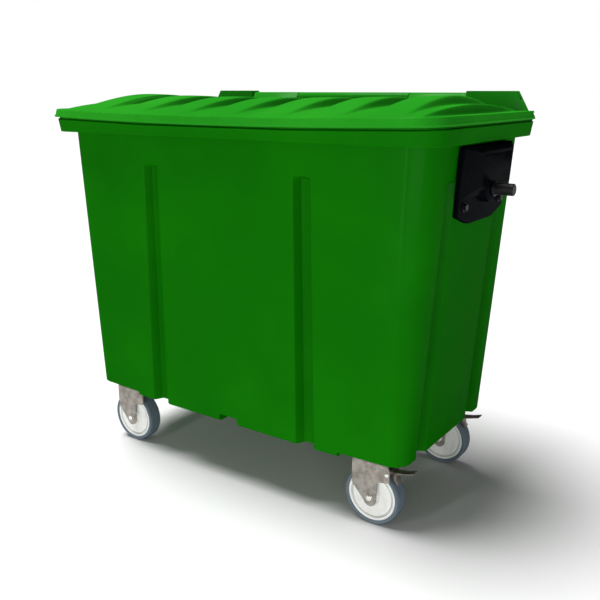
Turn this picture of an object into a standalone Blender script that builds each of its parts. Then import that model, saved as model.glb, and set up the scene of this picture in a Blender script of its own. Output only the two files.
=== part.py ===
"""Four-wheeled waste container with a domed lid, trunnion pins and swivel castors.

Metres, +Z up, ground at z = 0. X runs along the long side, the front faces -Y
and the lid's hinge is at the rear. Every piece hangs on one empty, which places
the tub's centre so that the whole container is centred on the origin.
"""

import math

import bmesh
import bpy
from mathutils import Matrix, Vector

FRAME_Y = -0.0295  # tub centre, seen from the container's centre
GAP = 0.0003  # between pieces that touch

# Tub
BASE_Z = 0.188
PAD_Z = 0.200
PAD_X = 0.364
RIM_BOTTOM = 0.987
RIM_TOP = 1.035
BASE_HALF = (0.548, 0.2680)
NECK_HALF = (0.600, 0.2840)
BASE_SHIFT = -0.0130  # the rear wall leans more than the front one
NECK_SHIFT = -0.0030
RIM_HALF = (0.6290, 0.3290)
RIM_FLARE = 0.006
BASE_CORNER = 0.048
NECK_CORNER = 0.070
RIM_CORNER = 0.072
BASE_RECESS = 0.012
NECK_RECESS = 0.005
WALL = 0.006
RIM_WALL = 0.005
GROOVE_DEPTH = 0.026
GROOVE_TOP = 0.896
GROOVE_SHELF = 0.010
# Grooves: centre, half width outside and half width at the floor, at the base and at the neck
FRONT_GROOVE = ((0.265, 0.0290, 0.0170), (0.255, 0.0260, 0.0150))
SIDE_GROOVE = ((0.154, 0.0270, 0.0150), (0.160, 0.0240, 0.0130))
NOTCH_HALF = 0.035
NOTCH_HEIGHT = 0.022
ARC_STEPS = 6

# Lid and hinge
LID_HALF_X = 0.6350
LID_FRONT = -0.3350
LID_REAR = 0.324
LID_WALL = 0.004
LID_LEDGE = 1.052
LID_LIP = 1.031
LID_SAG = 0.011  # how much lower the lid is in the middle than at its ends
LID_CORNER = 0.060
DOME_HALF_X = 0.578
DOME_FRONT = -0.304
DOME_REAR = 0.268
DOME_RISE = 0.023
RIB_RISE = 0.022
RIB_COUNT = 7
RIB_PITCH = 0.162
RIB_HALF_TOP = 0.040
RIB_HALF_FOOT = 0.052
HINGE_Y = 0.375
HINGE_Z = 1.0810
HINGE_RADIUS = 0.017
ROD_RADIUS = 0.006
BARREL_X = (0.2080, 0.3930)
RAIL_X = 0.2055
EAR_X = (0.3955, 0.5850)
EAR_TOP_X = 0.540
EAR_Z = 1.103

# Trunnion brackets and pins
PIN_RADIUS = 0.015
PIN_Z = 0.873
PIN_TIP = 0.685
PLATE_DEPTH = 0.014
BOX_DEPTH = 0.042
BOLT_Y = 0.112
BOLT_Z = 0.838

# Castors
WHEEL_RADIUS = 0.080
TYRE_HALF = 0.023
AXLE_X = 0.444
TRAIL = 0.020
CASTOR_Y = 0.212
CHEEK_IN = 0.0258
CHEEK_OUT = 0.0295
CROWN_TOP = 0.1820
CROWN_BOTTOM = 0.1780
CHEEK_HALF = 0.055
CHEEK_DROP = 0.130
PLATE_HALF = (0.055, 0.045)
PEDAL_PIVOT = (0.048, 0.1575)
TURN = 32  # steps of a turned part

COLOURS = {
    "green_polyethylene": ((0.006, 0.130, 0.003), 0.45, 0.0),
    "black_polymer": ((0.006, 0.007, 0.009), 0.50, 0.0),
    "black_steel": ((0.010, 0.011, 0.013), 0.40, 0.6),
    "zinc_steel": ((0.230, 0.205, 0.180), 0.45, 1.0),
    "bright_zinc": ((0.780, 0.780, 0.760), 0.25, 1.0),
    "hub_polymer": ((0.640, 0.660, 0.640), 0.45, 0.0),
    "grey_rubber": ((0.110, 0.150, 0.180), 0.70, 0.0),
    "nylon": ((0.600, 0.580, 0.520), 0.50, 0.0),
}


# ---------------------------------------------------------------- helpers


def material(slot):
    """Returns the material of a slot, made on first use."""
    found = bpy.data.materials.get(slot)
    if found:
        return found
    made = bpy.data.materials.new(slot)
    made.use_nodes = True
    colour, roughness, metallic = COLOURS[slot]
    shader = made.node_tree.nodes["Principled BSDF"]
    shader.inputs["Base Color"].default_value = (*colour, 1.0)
    shader.inputs["Roughness"].default_value = roughness
    shader.inputs["Metallic"].default_value = metallic
    return made


def collection(name):
    """Returns a collection of the scene, made on first use."""
    found = bpy.data.collections.get(name)
    if not found:
        found = bpy.data.collections.new(name)
        bpy.context.scene.collection.children.link(found)
    return found


def new_object(name, mesh, slot=None, parent=None, at=(0, 0, 0)):
    """Links a mesh as a part, or as a cutter when it has no slot."""
    piece = bpy.data.objects.new(name, mesh)
    piece.location = at
    piece.parent = parent
    if slot:
        mesh.materials.append(material(slot))
        collection("waste_container").objects.link(piece)
    else:
        collection("cutters").objects.link(piece)
        piece.hide_render = True
        piece.display_type = "WIRE"
    return piece


def mesh_from(name, build):
    """Returns a mesh that build(bm) fills."""
    bm = bmesh.new()
    build(bm)
    bmesh.ops.remove_doubles(bm, verts=bm.verts, dist=0.00001)
    mesh = bpy.data.meshes.new(name)
    bm.to_mesh(mesh)
    bm.free()
    return mesh


def skin(bm, rings, closed=False):
    """Joins rings of points with faces, and caps the two ends unless closed."""
    rows = [[bm.verts.new(point) for point in ring] for ring in rings]
    pairs = list(zip(rows, rows[1:]))
    if closed:
        pairs.append((rows[-1], rows[0]))
    for low, high in pairs:
        count = len(low)
        for i in range(count):
            j = (i + 1) % count
            bm.faces.new((low[i], low[j], high[j], high[i]))
    if not closed:
        bm.faces.new(list(reversed(rows[0])))
        bm.faces.new(rows[-1])


def block(bm, low, high):
    """Adds a box between two corners."""
    (x0, y0, z0), (x1, y1, z1) = low, high
    ring = ((x0, y0), (x1, y0), (x1, y1), (x0, y1))
    skin(bm, [[(x, y, z) for x, y in ring] for z in (z0, z1)])


def turned(bm, profile, steps=TURN, axis="Z", at=(0, 0, 0)):
    """Adds a turned solid: profile holds (radius, height) from bottom to top."""
    turn = {"X": Matrix.Rotation(math.pi / 2, 3, "Y"), "Y": Matrix.Rotation(-math.pi / 2, 3, "X"),
            "Z": Matrix.Identity(3)}[axis]
    rings = []
    for radius, height in profile:
        angles = [math.tau * i / steps for i in range(steps)]
        points = [Vector((radius * math.cos(a), radius * math.sin(a), height)) for a in angles]
        rings.append([turn @ p + Vector(at) for p in points])
    skin(bm, rings)


def turned_ring(bm, profile, steps=TURN, axis="Z", at=(0, 0, 0)):
    """Adds a turned ring: profile is a closed loop of (radius, height), outer side upward."""
    turn = {"X": Matrix.Rotation(math.pi / 2, 3, "Y"), "Y": Matrix.Rotation(-math.pi / 2, 3, "X"),
            "Z": Matrix.Identity(3)}[axis]
    rings = []
    for radius, height in profile:
        angles = [math.tau * i / steps for i in range(steps)]
        points = [Vector((radius * math.cos(a), radius * math.sin(a), height)) for a in angles]
        rings.append([turn @ p + Vector(at) for p in points])
    skin(bm, rings, closed=True)


def prism(bm, outline, low, high, plane="XZ"):
    """Adds an outline, counter-clockwise as seen from the front, drawn out across its plane."""
    if plane == "XZ":
        rings = [[(x, y, z) for x, z in outline] for y in (high, low)]
    elif plane == "YZ":
        rings = [[(x, y, z) for y, z in outline] for x in (low, high)]
    else:
        rings = [[(x, y, z) for x, y in outline] for z in (low, high)]
    skin(bm, rings)


def combine(piece, other, operation="DIFFERENCE"):
    """Applies another object to a piece with an exact Boolean."""
    step = piece.modifiers.new(other.name, "BOOLEAN")
    step.operation = operation
    step.solver = "EXACT"
    step.object = other
    depsgraph = bpy.context.evaluated_depsgraph_get()
    result = bpy.data.meshes.new_from_object(piece.evaluated_get(depsgraph))
    piece.modifiers.clear()
    old = piece.data
    result.name = old.name
    piece.data = result
    bpy.data.meshes.remove(old)


def smooth(piece, degrees=30):
    """Shades a piece smooth, with sharp edges past an angle."""
    piece.data.shade_smooth()
    piece.data.set_sharp_from_angle(angle=math.radians(degrees))


def cutter(name, build, parent, at=(0, 0, 0)):
    """Returns a cutter made by build(bm)."""
    return new_object(name, mesh_from(name, build), None, parent, at)


def part(name, build, slot, parent, at=(0, 0, 0)):
    """Returns a part made by build(bm), shaded smooth."""
    piece = new_object(name, mesh_from(name, build), slot, parent, at)
    smooth(piece)
    return piece


def empty(name, parent=None, at=(0, 0, 0)):
    """Returns an empty, which marks a frame or a joint's axis."""
    marker = bpy.data.objects.new(name, None)
    marker.location = at
    marker.parent = parent
    marker.empty_display_size = 0.05
    collection("axes").objects.link(marker)
    return marker


# ---------------------------------------------------------------- tub


def blend(low, high, z):
    """Returns the value at height z between the base and the neck under the rim."""
    return low + (high - low) * (z - BASE_Z) / (RIM_BOTTOM - BASE_Z)


def wall_x(z):
    """Returns the end wall's distance from the centre at height z."""
    return blend(BASE_HALF[0], NECK_HALF[0], z)


def quarter(half, corner, recess, grooves, depth, widen=0.0):
    """Returns one quarter of the tub's outline, from the front's middle to the right end."""
    a, b = half
    (xg, xs, xf), (yg, ys, yf) = grooves
    points = [(0, -b), (xg - xs - widen, -b), (xg - xf - widen, depth - b),
              (xg + xf + widen, depth - b), (xg + xs + widen, -b)]
    centre = Vector((a - corner, -(b - recess - corner)))
    for i in range(ARC_STEPS + 1):
        angle = -math.pi / 2 + math.pi / 2 * i / ARC_STEPS
        points.append(tuple(centre + corner * Vector((math.cos(angle), math.sin(angle)))))
    points += [(a, -yg - ys - widen), (a - depth, -yg - yf - widen),
               (a - depth, -yg + yf + widen), (a, -yg + ys + widen)]
    return points


def outline(z, half, corner, recess, shift=0.0, depth=0.0, widen=0.0):
    """Returns the tub's whole outline at height z, mirrored from one quarter."""
    level = min(z, RIM_BOTTOM)
    grooves = [[blend(low, high, level) for low, high in zip(*ends)] for ends in (FRONT_GROOVE, SIDE_GROOVE)]
    right = quarter(half, corner, recess, grooves, depth, widen)
    rear = [(x, -y) for x, y in reversed(right)]
    half_loop = right + rear
    left = [(-x, y) for x, y in reversed(half_loop)]
    loop = half_loop + left
    unique = [p for p, before in zip(loop, [loop[-1]] + loop) if p != before]
    return [(x, y + shift, z) for x, y in unique]


def wall_ring(z, inset=0.0, depth=GROOVE_DEPTH):
    """Returns the outline of the tapered wall at height z, moved inward by inset."""
    half = [blend(BASE_HALF[i], NECK_HALF[i], z) - inset for i in (0, 1)]
    corner = blend(BASE_CORNER, NECK_CORNER, z) - inset
    recess = blend(BASE_RECESS, NECK_RECESS, z)
    shift = blend(BASE_SHIFT, NECK_SHIFT, z)
    return outline(z, half, corner, recess, shift, depth, 0.5 * inset)


def rim_ring(z, inset):
    """Returns the outline of the rim band at height z, moved inward by inset."""
    half = [side - inset for side in RIM_HALF]
    return outline(z, half, RIM_CORNER - inset, 0.0)


def tub_outside(bm):
    """Outer wall, from the base up, with a rim band that is open underneath."""
    shelf = GROOVE_TOP + GROOVE_SHELF
    base = wall_ring(BASE_Z, 0.004)
    rings = [base, wall_ring(BASE_Z + 0.005), wall_ring(GROOVE_TOP), wall_ring(shelf, depth=0.0),
             wall_ring(RIM_BOTTOM, depth=0.0), wall_ring(RIM_TOP - WALL, depth=0.0),
             rim_ring(RIM_TOP - WALL, RIM_WALL), rim_ring(RIM_BOTTOM, RIM_FLARE + RIM_WALL),
             rim_ring(RIM_BOTTOM, RIM_FLARE), rim_ring(RIM_TOP - 0.004, 0.0),
             rim_ring(RIM_TOP, 0.004)]
    skin(bm, rings)


def tub_inside(bm):
    """The space inside the tub, one wall's thickness in."""
    shelf = GROOVE_TOP + GROOVE_SHELF + WALL
    rings = [wall_ring(BASE_Z + WALL, WALL + 0.004), wall_ring(BASE_Z + WALL + 0.005, WALL),
             wall_ring(GROOVE_TOP + WALL, WALL), wall_ring(shelf, WALL, 0.0),
             wall_ring(RIM_TOP + 0.03, WALL, 0.0)]
    skin(bm, rings)


def ear_outline(side):
    """Returns an ear's shape from the front: a straight inner end and a sloping outer end."""
    shape = [(EAR_X[0], RIM_BOTTOM + 0.004), (EAR_X[1] - 0.012, RIM_BOTTOM + 0.004),
             (EAR_X[1], RIM_TOP - 0.010), (EAR_TOP_X, EAR_Z), (EAR_X[0], EAR_Z)]
    if side < 0:
        shape = [(-x, z) for x, z in reversed(shape)]
    return shape


def rail_outline():
    """Returns the rail's cross-section: a rounded top about the hinge's axis."""
    points = [(RIM_HALF[1] - 0.008, RIM_BOTTOM + 0.004), (HINGE_Y + HINGE_RADIUS, RIM_BOTTOM + 0.018)]
    for i in range(9):
        angle = math.pi * i / 8
        y = HINGE_Y + HINGE_RADIUS * math.cos(angle)
        points.append((y, HINGE_Z + HINGE_RADIUS * math.sin(angle)))
    points += [(HINGE_Y - HINGE_RADIUS, RIM_TOP - 0.004), (RIM_HALF[1] - 0.008, RIM_TOP - 0.004)]
    return points


def make_tub(frame):
    """Hollow tub with grooved walls, rim, rear rail and ears, castor pads and drain hole."""
    tub = new_object("body_tub", mesh_from("body_tub", tub_outside), "green_polyethylene", frame)
    far = 0.8
    lift = cutter("pad_and_notch", lambda bm: [
        block(bm, (PAD_X, -far, 0.1), (far, far, PAD_Z)),
        block(bm, (-far, -far, 0.1), (-PAD_X, far, PAD_Z)),
        block(bm, (-NOTCH_HALF, -far, 0.1), (NOTCH_HALF, far, BASE_Z + NOTCH_HEIGHT))], frame)
    combine(tub, lift)
    inside = cutter("tub_inside", tub_inside, frame)
    raised = cutter("raised_floor", lambda bm: [
        block(bm, (PAD_X - WALL, -far, 0.1), (far, far, PAD_Z + WALL)),
        block(bm, (-far, -far, 0.1), (WALL - PAD_X, far, PAD_Z + WALL)),
        block(bm, (-NOTCH_HALF - WALL, -far, 0.1),
              (NOTCH_HALF + WALL, far, BASE_Z + NOTCH_HEIGHT + WALL))], frame)
    combine(inside, raised)
    combine(tub, inside)
    rail = cutter("rear_rail", lambda bm: prism(bm, rail_outline(), -RAIL_X, RAIL_X, "YZ"), frame)
    combine(tub, rail, "UNION")
    for side, label in ((1, "right"), (-1, "left")):
        ear = cutter(f"ear_{label}", lambda bm, s=side: prism(
            bm, ear_outline(s), RIM_HALF[1] - 0.008, HINGE_Y + HINGE_RADIUS + 0.002), frame)
        combine(tub, ear, "UNION")
    relief = cutter("ear_relief", lambda bm: block(
        bm, (-far, RIM_HALF[1] - 0.030, RIM_TOP), (far, HINGE_Y - 0.021, 1.2)), frame)
    combine(tub, relief)
    bore = cutter("hinge_bore", lambda bm: turned(
        bm, [(ROD_RADIUS + GAP, -0.7), (ROD_RADIUS + GAP, 0.7)], 20, "X", (0, HINGE_Y, HINGE_Z)), frame)
    combine(tub, bore)
    drain = cutter("drain_bore", lambda bm: turned(
        bm, [(0.0258, BASE_Z - 0.05), (0.0258, BASE_Z + 0.02)], 24, "Z", (0.150, 0, 0)), frame)
    combine(tub, drain)
    smooth(tub)
    return tub


# ---------------------------------------------------------------- lid


def arch(y):
    """Returns how far up the dome's curve a point is, from 0 at its feet to 1."""
    t = (y - DOME_FRONT) / (DOME_REAR - DOME_FRONT)
    return math.sin(math.pi * min(1.0, max(0.0, t))) ** 0.75 if 0 < t < 1 else 0.0


def lid_sag(x):
    """Returns how far the lid hangs down at X, most in its middle."""
    return LID_SAG * (1 - (x / LID_HALF_X) ** 2)


def lid_height(x, y):
    """Returns the height of the lid's top at a point."""
    inside = abs(x) <= DOME_HALF_X + 0.0001
    height = LID_LEDGE - lid_sag(x)
    if inside:
        height += DOME_RISE * arch(y)
        nearest = round(x / RIB_PITCH)
        nearest = max(-(RIB_COUNT // 2), min(RIB_COUNT // 2, nearest))
        off = abs(x - nearest * RIB_PITCH)
        lift = (RIB_HALF_FOOT - off) / (RIB_HALF_FOOT - RIB_HALF_TOP)
        height += RIB_RISE * min(1.0, max(0.0, lift)) * arch(y) ** 1.7
    return height


def lid_stations():
    """Returns the lid's grid lines along X, with lines at each rib's foot and top."""
    half = [LID_HALF_X - LID_CORNER * k for k in (0.0, 0.06, 0.22, 0.55, 1.0)] + [DOME_HALF_X + 0.004, DOME_HALF_X]
    for i in range(RIB_COUNT // 2 + 1):
        for off in (-RIB_HALF_FOOT, -RIB_HALF_TOP, RIB_HALF_TOP, RIB_HALF_FOOT):
            if i * RIB_PITCH + off > 0:
                half.append(i * RIB_PITCH + off)
    return sorted({round(x, 5) for x in half} | {round(-x, 5) for x in half})


def lid_rows(x, inset):
    """Returns the Y values of one grid line, between the lid's rounded corners."""
    over = max(0.0, abs(x) - (LID_HALF_X - LID_CORNER))
    bend = LID_CORNER - math.sqrt(max(0.0, LID_CORNER ** 2 - over ** 2))
    front, rear = LID_FRONT + bend + inset, LID_REAR - bend - inset
    dome = [DOME_FRONT + (DOME_REAR - DOME_FRONT) * i / 10 for i in range(11)]
    rows = [front] + [min(max(y, front + 0.002), rear - 0.002) for y in dome] + [rear]
    for i in range(1, len(rows)):
        rows[i] = max(rows[i], rows[i - 1] + 0.0005)
    return rows


def lid_shell(bm):
    """A thin moulded shell: ribbed top, matching underside and a skirt round three sides."""
    stations = lid_stations()
    squeeze = (LID_HALF_X - LID_WALL) / LID_HALF_X
    top = [[bm.verts.new((x, y, lid_height(x, y))) for y in lid_rows(x, 0.0)] for x in stations]
    under = []
    for x in stations:
        row = lid_rows(x, LID_WALL)
        under.append([bm.verts.new((x * squeeze, y, lid_height(x, y) - LID_WALL)) for y in row])
    columns, rows = len(top), len(top[0])
    for i in range(columns - 1):
        for j in range(rows - 1):
            bm.faces.new((top[i][j], top[i + 1][j], top[i + 1][j + 1], top[i][j + 1]))
            bm.faces.new((under[i][j], under[i][j + 1], under[i + 1][j + 1], under[i + 1][j]))
    border = [(i, 0) for i in range(columns)] + [(columns - 1, j) for j in range(1, rows)]
    border += [(i, rows - 1) for i in range(columns - 2, -1, -1)] + [(0, j) for j in range(rows - 2, 0, -1)]
    lips = []
    for grid in (top, under):
        ring = []
        for i, j in border:
            x, y, _ = grid[i][j].co
            low = LID_LEDGE - LID_WALL - 0.001 if j == rows - 1 else LID_LIP
            ring.append(bm.verts.new((x, y, low - lid_sag(x))))
        lips.append(ring)
    for k, (i, j) in enumerate(border):
        m = (k + 1) % len(border)
        a, b = border[m]
        bm.faces.new((top[i][j], lips[0][k], lips[0][m], top[a][b]))
        bm.faces.new((lips[0][k], lips[1][k], lips[1][m], lips[0][m]))
        bm.faces.new((lips[1][k], under[i][j], under[a][b], lips[1][m]))


def barrel_outline():
    """Returns a lid barrel's cross-section: a round eye with a web down to the lid's rear edge."""
    ledge = LID_LEDGE - lid_sag(sum(BARREL_X) / 2)
    points = [(LID_REAR - 0.012, ledge - LID_WALL + 0.0005), (LID_REAR + 0.010, ledge - LID_WALL)]
    for i in range(11):
        angle = math.radians(-70 + 200 * i / 10)
        y = HINGE_Y + HINGE_RADIUS * math.cos(angle)
        points.append((y, HINGE_Z + HINGE_RADIUS * math.sin(angle)))
    points += [(LID_REAR + 0.006, ledge + 0.006), (LID_REAR - 0.012, ledge + 0.001)]
    return points


def make_lid(hinge):
    """Lid with two hinge barrels, turning on the hinge's axis."""
    at = (0, -HINGE_Y, -HINGE_Z)
    lid = new_object("lid", mesh_from("lid", lid_shell), "green_polyethylene", hinge, at)
    for side, label in ((1, "right"), (-1, "left")):
        low, high = sorted((side * BARREL_X[0], side * BARREL_X[1]))
        barrel = cutter(f"barrel_{label}", lambda bm, a=low, b=high: prism(
            bm, barrel_outline(), a, b, "YZ"), hinge, at)
        combine(lid, barrel, "UNION")
    bore = cutter("barrel_bore", lambda bm: turned(
        bm, [(ROD_RADIUS + GAP, -0.7), (ROD_RADIUS + GAP, 0.7)], 20, "X", (0, HINGE_Y, HINGE_Z)), hinge, at)
    combine(lid, bore)
    smooth(lid)
    return lid


def make_hinge_rod(frame):
    """Steel rod through the ears, the rail and the lid's barrels."""
    reach = EAR_TOP_X - 0.004
    profile = [(ROD_RADIUS - 0.001, -reach), (ROD_RADIUS, -reach + 0.001), (ROD_RADIUS, reach - 0.001),
               (ROD_RADIUS - 0.001, reach)]
    part("hinge_rod", lambda bm: turned(bm, profile, 20, "X", (0, HINGE_Y, HINGE_Z)), "zinc_steel", frame)


# ---------------------------------------------------------------- trunnions


def wall_shape(bm, steps):
    """Skins outlines of (y, z) laid on the end wall, each at its own distance from it."""
    rings = [[(wall_x(z) + off, y, z) for y, z in shape] for off, shape in steps]
    skin(bm, rings)


def bracket_plate(bm):
    """The bracket's lower plate, with a shallow V along the bottom."""
    shape = [(-0.140, 0.816), (-0.072, 0.793), (0.072, 0.793), (0.140, 0.816), (0.146, 0.968), (-0.146, 0.968)]
    inner = [(y * 0.965, z + (0.004 if z < 0.9 else -0.002)) for y, z in shape]
    wall_shape(bm, [(GAP, shape), (PLATE_DEPTH - 0.004, shape), (PLATE_DEPTH, inner)])


def bracket_box(bm):
    """The bracket's raised upper box, with sloping sides."""
    foot = [(-0.150, 0.858), (0.150, 0.858), (0.150, 0.980), (-0.150, 0.980)]
    face = [(-0.098, 0.884), (0.098, 0.884), (0.098, 0.968), (-0.098, 0.968)]
    wall_shape(bm, [(0.0035, foot), (0.0180, foot), (BOX_DEPTH, face)])


def make_trunnion(frame, side, label):
    """Bracket, lifting pin and two bolts on one end wall."""
    turn = empty(f"trunnion_{label}", frame)
    turn.rotation_euler.z = 0.0 if side > 0 else math.pi
    bracket = new_object(f"trunnion_bracket_{label}", mesh_from("bracket", bracket_plate), "black_polymer", turn)
    box = cutter(f"bracket_box_{label}", bracket_box, turn)
    combine(bracket, box, "UNION")
    face = wall_x(PIN_Z)
    boss = cutter(f"pin_boss_{label}", lambda bm: turned(
        bm, [(0.034, 0.006), (0.034, 0.034), (0.026, 0.040)], 28, "X", (face, 0, PIN_Z)), turn)
    combine(bracket, boss, "UNION")
    bore = cutter(f"pin_bore_{label}", lambda bm: turned(
        bm, [(PIN_RADIUS + GAP, 0.008), (PIN_RADIUS + GAP, 0.2)], 28, "X", (face, 0, PIN_Z)), turn)
    combine(bracket, bore)
    root, tip = face + 0.0085, PIN_TIP
    profile = [(PIN_RADIUS, root), (PIN_RADIUS, tip - 0.003), (PIN_RADIUS - 0.003, tip)]
    part(f"trunnion_pin_{label}", lambda bm: turned(bm, profile, 28, "X", (0, 0, PIN_Z)), "black_steel", turn)
    plate_face = wall_x(BOLT_Z) + PLATE_DEPTH
    for y, end in ((-BOLT_Y, "a"), (BOLT_Y, "b")):
        hole = cutter(f"bolt_hole_{label}_{end}", lambda bm, y=y: turned(
            bm, [(0.0053, -0.08), (0.0053, 0.06)], 16, "X", (plate_face, y, BOLT_Z)), turn)
        combine(bracket, hole)
        combine(bpy.data.objects["body_tub"], hole)
        shape = [(0.0045, -0.032), (0.005, -0.031), (0.005, 0.0010), (0.012, 0.0010), (0.012, 0.0024),
                 (0.0095, 0.0024), (0.0095, 0.0090), (0.008, 0.0095)]
        part(f"bracket_bolt_{label}_{end}", lambda bm, y=y, s=shape: turned(
            bm, s, 6, "X", (plate_face, y, BOLT_Z)), "black_steel", turn)
    smooth(bracket)
    return bracket


def make_drain_plug(frame):
    """Screw plug in the floor."""
    profile = [(0.030, -0.0053), (0.033, -0.0043), (0.033, -GAP), (0.0255, -GAP), (0.0255, WALL + 0.004),
               (0.0240, WALL + 0.006)]
    part("drain_plug", lambda bm: turned(bm, profile, 24, "Z", (0.150, 0, BASE_Z)), "black_polymer", frame)


# ---------------------------------------------------------------- castors


def castor_plate(bm):
    """Top plate with the round swivel head under it."""
    a, b = PLATE_HALF
    cut = 0.010
    shape = [(-a + cut, -b), (a - cut, -b), (a, -b + cut), (a, b - cut), (a - cut, b), (-a + cut, b),
             (-a, b - cut), (-a, -b + cut)]
    prism(bm, shape, PAD_Z - 0.0040 - GAP, PAD_Z - GAP, "XY")


def swivel_head(bm):
    """The fixed half of the ball race, pressed out of the top plate."""
    low = CROWN_TOP + GAP
    profile = [(0.0290, low), (0.0330, low + 0.002), (0.0330, PAD_Z - 0.007), (0.0370, PAD_Z - 0.0035)]
    turned(bm, profile)


def cheek_outline():
    """Returns a fork cheek's side view, about the axle: wide at the crown, narrow at the axle."""
    points = [(-CHEEK_HALF, 0.110), (-0.021, 0.070)]
    for i in range(7):
        angle = math.radians(200 + 145 * i / 6)
        points.append((0.019 * math.cos(angle) - 0.001, WHEEL_RADIUS - 0.004 + 0.022 * math.sin(angle)))
    points += [(0.019, CHEEK_DROP), (CHEEK_HALF, CHEEK_DROP + 0.006), (CHEEK_HALF, CROWN_TOP - 0.010),
               (CHEEK_HALF - 0.010, CROWN_TOP), (-CHEEK_HALF, CROWN_TOP)]
    return points


def make_castor(frame, name, side_x, side_y):
    """One swivel castor: fixed plate and kingpin, turning fork, and a rolling wheel."""
    swivel_x = side_x * AXLE_X - TRAIL
    swivel_y = side_y * CASTOR_Y
    mount = empty(f"mount_{name}", frame, (swivel_x, swivel_y, 0))
    swivel = empty(f"swivel_axis_{name}", mount)
    axle = empty(f"axle_{name}", swivel, (TRAIL, 0, WHEEL_RADIUS))

    plate = new_object(f"castor_plate_{name}", mesh_from("plate", castor_plate), "zinc_steel", mount)
    head = cutter(f"swivel_head_{name}", swivel_head, mount)
    combine(plate, head, "UNION")
    pin_hole = cutter(f"kingpin_hole_{name}", lambda bm: turned(bm, [(0.0063, 0.15), (0.0063, 0.25)], 20), mount)
    combine(plate, pin_hole)
    smooth(plate)

    shape = cheek_outline()
    fork = new_object(f"castor_fork_{name}", mesh_from("fork", lambda bm: prism(
        bm, shape, -CHEEK_OUT, CHEEK_OUT)), "zinc_steel", swivel, (TRAIL, 0, 0))
    slot = cutter(f"wheel_slot_{name}", lambda bm: block(
        bm, (-0.2, -CHEEK_IN, 0.0), (0.2, CHEEK_IN, CROWN_BOTTOM)), swivel, (TRAIL, 0, 0))
    combine(fork, slot)
    combine(fork, pin_hole)
    axle_hole = cutter(f"axle_hole_{name}", lambda bm: turned(
        bm, [(0.0053, -0.06), (0.0053, 0.06)], 20, "Y"), axle)
    combine(fork, axle_hole)
    smooth(fork)

    kingpin = [(0.0100, CROWN_BOTTOM - 0.0115), (0.0110, CROWN_BOTTOM - 0.0105), (0.0110, CROWN_BOTTOM - GAP), (0.0060, CROWN_BOTTOM - GAP),
               (0.0060, PAD_Z - 0.0020), (0.0050, PAD_Z - 0.0010)]
    part(f"kingpin_{name}", lambda bm: turned(bm, kingpin, 18), "bright_zinc", mount)

    out = CHEEK_OUT + GAP
    bolt = [(0.0075, -out - 0.0075), (0.0085, -out - 0.0065), (0.0085, -out), (0.0050, -out), (0.0050, out + 0.0105),
            (0.0040, out + 0.0115)]
    part(f"axle_bolt_{name}", lambda bm: turned(bm, bolt, 18, "Y"), "bright_zinc", axle)
    ring = [(0.0053, out), (0.0085, out), (0.0085, out + 0.0070), (0.0078, out + 0.0078), (0.0053, out + 0.0078)]
    part(f"axle_nut_{name}", lambda bm: turned_ring(bm, ring, 6 * 3, "Y"), "bright_zinc", axle)

    wheel = empty(f"wheel_axis_{name}", axle)
    sleeve = CHEEK_IN - GAP
    bush = [(0.0053, -sleeve), (0.0080, -sleeve), (0.0080, sleeve), (0.0053, sleeve)]
    part(f"axle_bush_{name}", lambda bm: turned_ring(bm, bush, 20, "Y"), "nylon", wheel)
    hub = [(0.0083, -0.0225), (0.0170, -0.0225), (0.0190, -0.015), (0.0560, -0.012), (0.0620, -0.0195),
           (0.0690, -0.0195), (0.0690, 0.0195), (0.0620, 0.0195), (0.0560, 0.012), (0.0190, 0.015),
           (0.0170, 0.0225), (0.0083, 0.0225)]
    part(f"wheel_hub_{name}", lambda bm: turned_ring(bm, hub, TURN, "Y"), "hub_polymer", wheel)
    edge = TYRE_HALF
    tyre = [(0.0693, -0.0200), (0.0720, -edge + 0.001), (0.0745, -edge), (0.0785, -edge + 0.0045),
            (WHEEL_RADIUS, -0.011), (WHEEL_RADIUS, 0.011), (0.0785, edge - 0.0045), (0.0745, edge),
            (0.0720, edge - 0.001), (0.0693, 0.0200)]
    part(f"tyre_{name}", lambda bm: turned_ring(bm, tyre, TURN, "Y"), "grey_rubber", wheel)
    return swivel, fork


def pedal_outline():
    """Returns the brake pedal's side view about its pivot: foot tongue, eye and shoe arm."""
    eye = 0.0068
    points = [(-eye * math.cos(math.radians(a)), eye * math.sin(math.radians(a))) for a in (90, 45, 0, -45, -90)]
    points += [(0.0045, -0.0095), (0.0145, -0.0220), (0.0215, -0.0305), (0.0265, -0.0270), (0.0185, -0.0115),
               (0.0165, -0.0035), (0.0640, 0.0105), (0.0670, 0.0130), (0.0650, 0.0160), (0.0140, 0.0035),
               (0.0040, 0.0068)]
    return points


def make_brake(name, swivel, fork):
    """Foot brake on one castor: pedal with a shoe arm, and its pivot pin in the fork."""
    x, z = PEDAL_PIVOT
    pivot = empty(f"brake_axis_{name}", swivel, (TRAIL + x, 0, z))
    half = 0.0180
    pedal = new_object(f"brake_pedal_{name}", mesh_from("pedal", lambda bm: prism(
        bm, pedal_outline(), -half, half)), "zinc_steel", pivot)
    hole = cutter(f"pivot_hole_{name}", lambda bm: turned(bm, [(0.0033, -0.06), (0.0033, 0.06)], 16, "Y"), pivot)
    combine(pedal, hole)
    combine(fork, hole)
    smooth(pedal)
    smooth(fork)
    reach = CHEEK_OUT + GAP
    pin = [(0.0050, -reach - 0.0025), (0.0055, -reach), (0.0030, -reach), (0.0030, reach + 0.0025),
           (0.0025, reach + 0.0030)]
    part(f"brake_pin_{name}", lambda bm: turned(bm, pin, 16, "Y"), "bright_zinc", pivot)


# ---------------------------------------------------------------- whole


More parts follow.
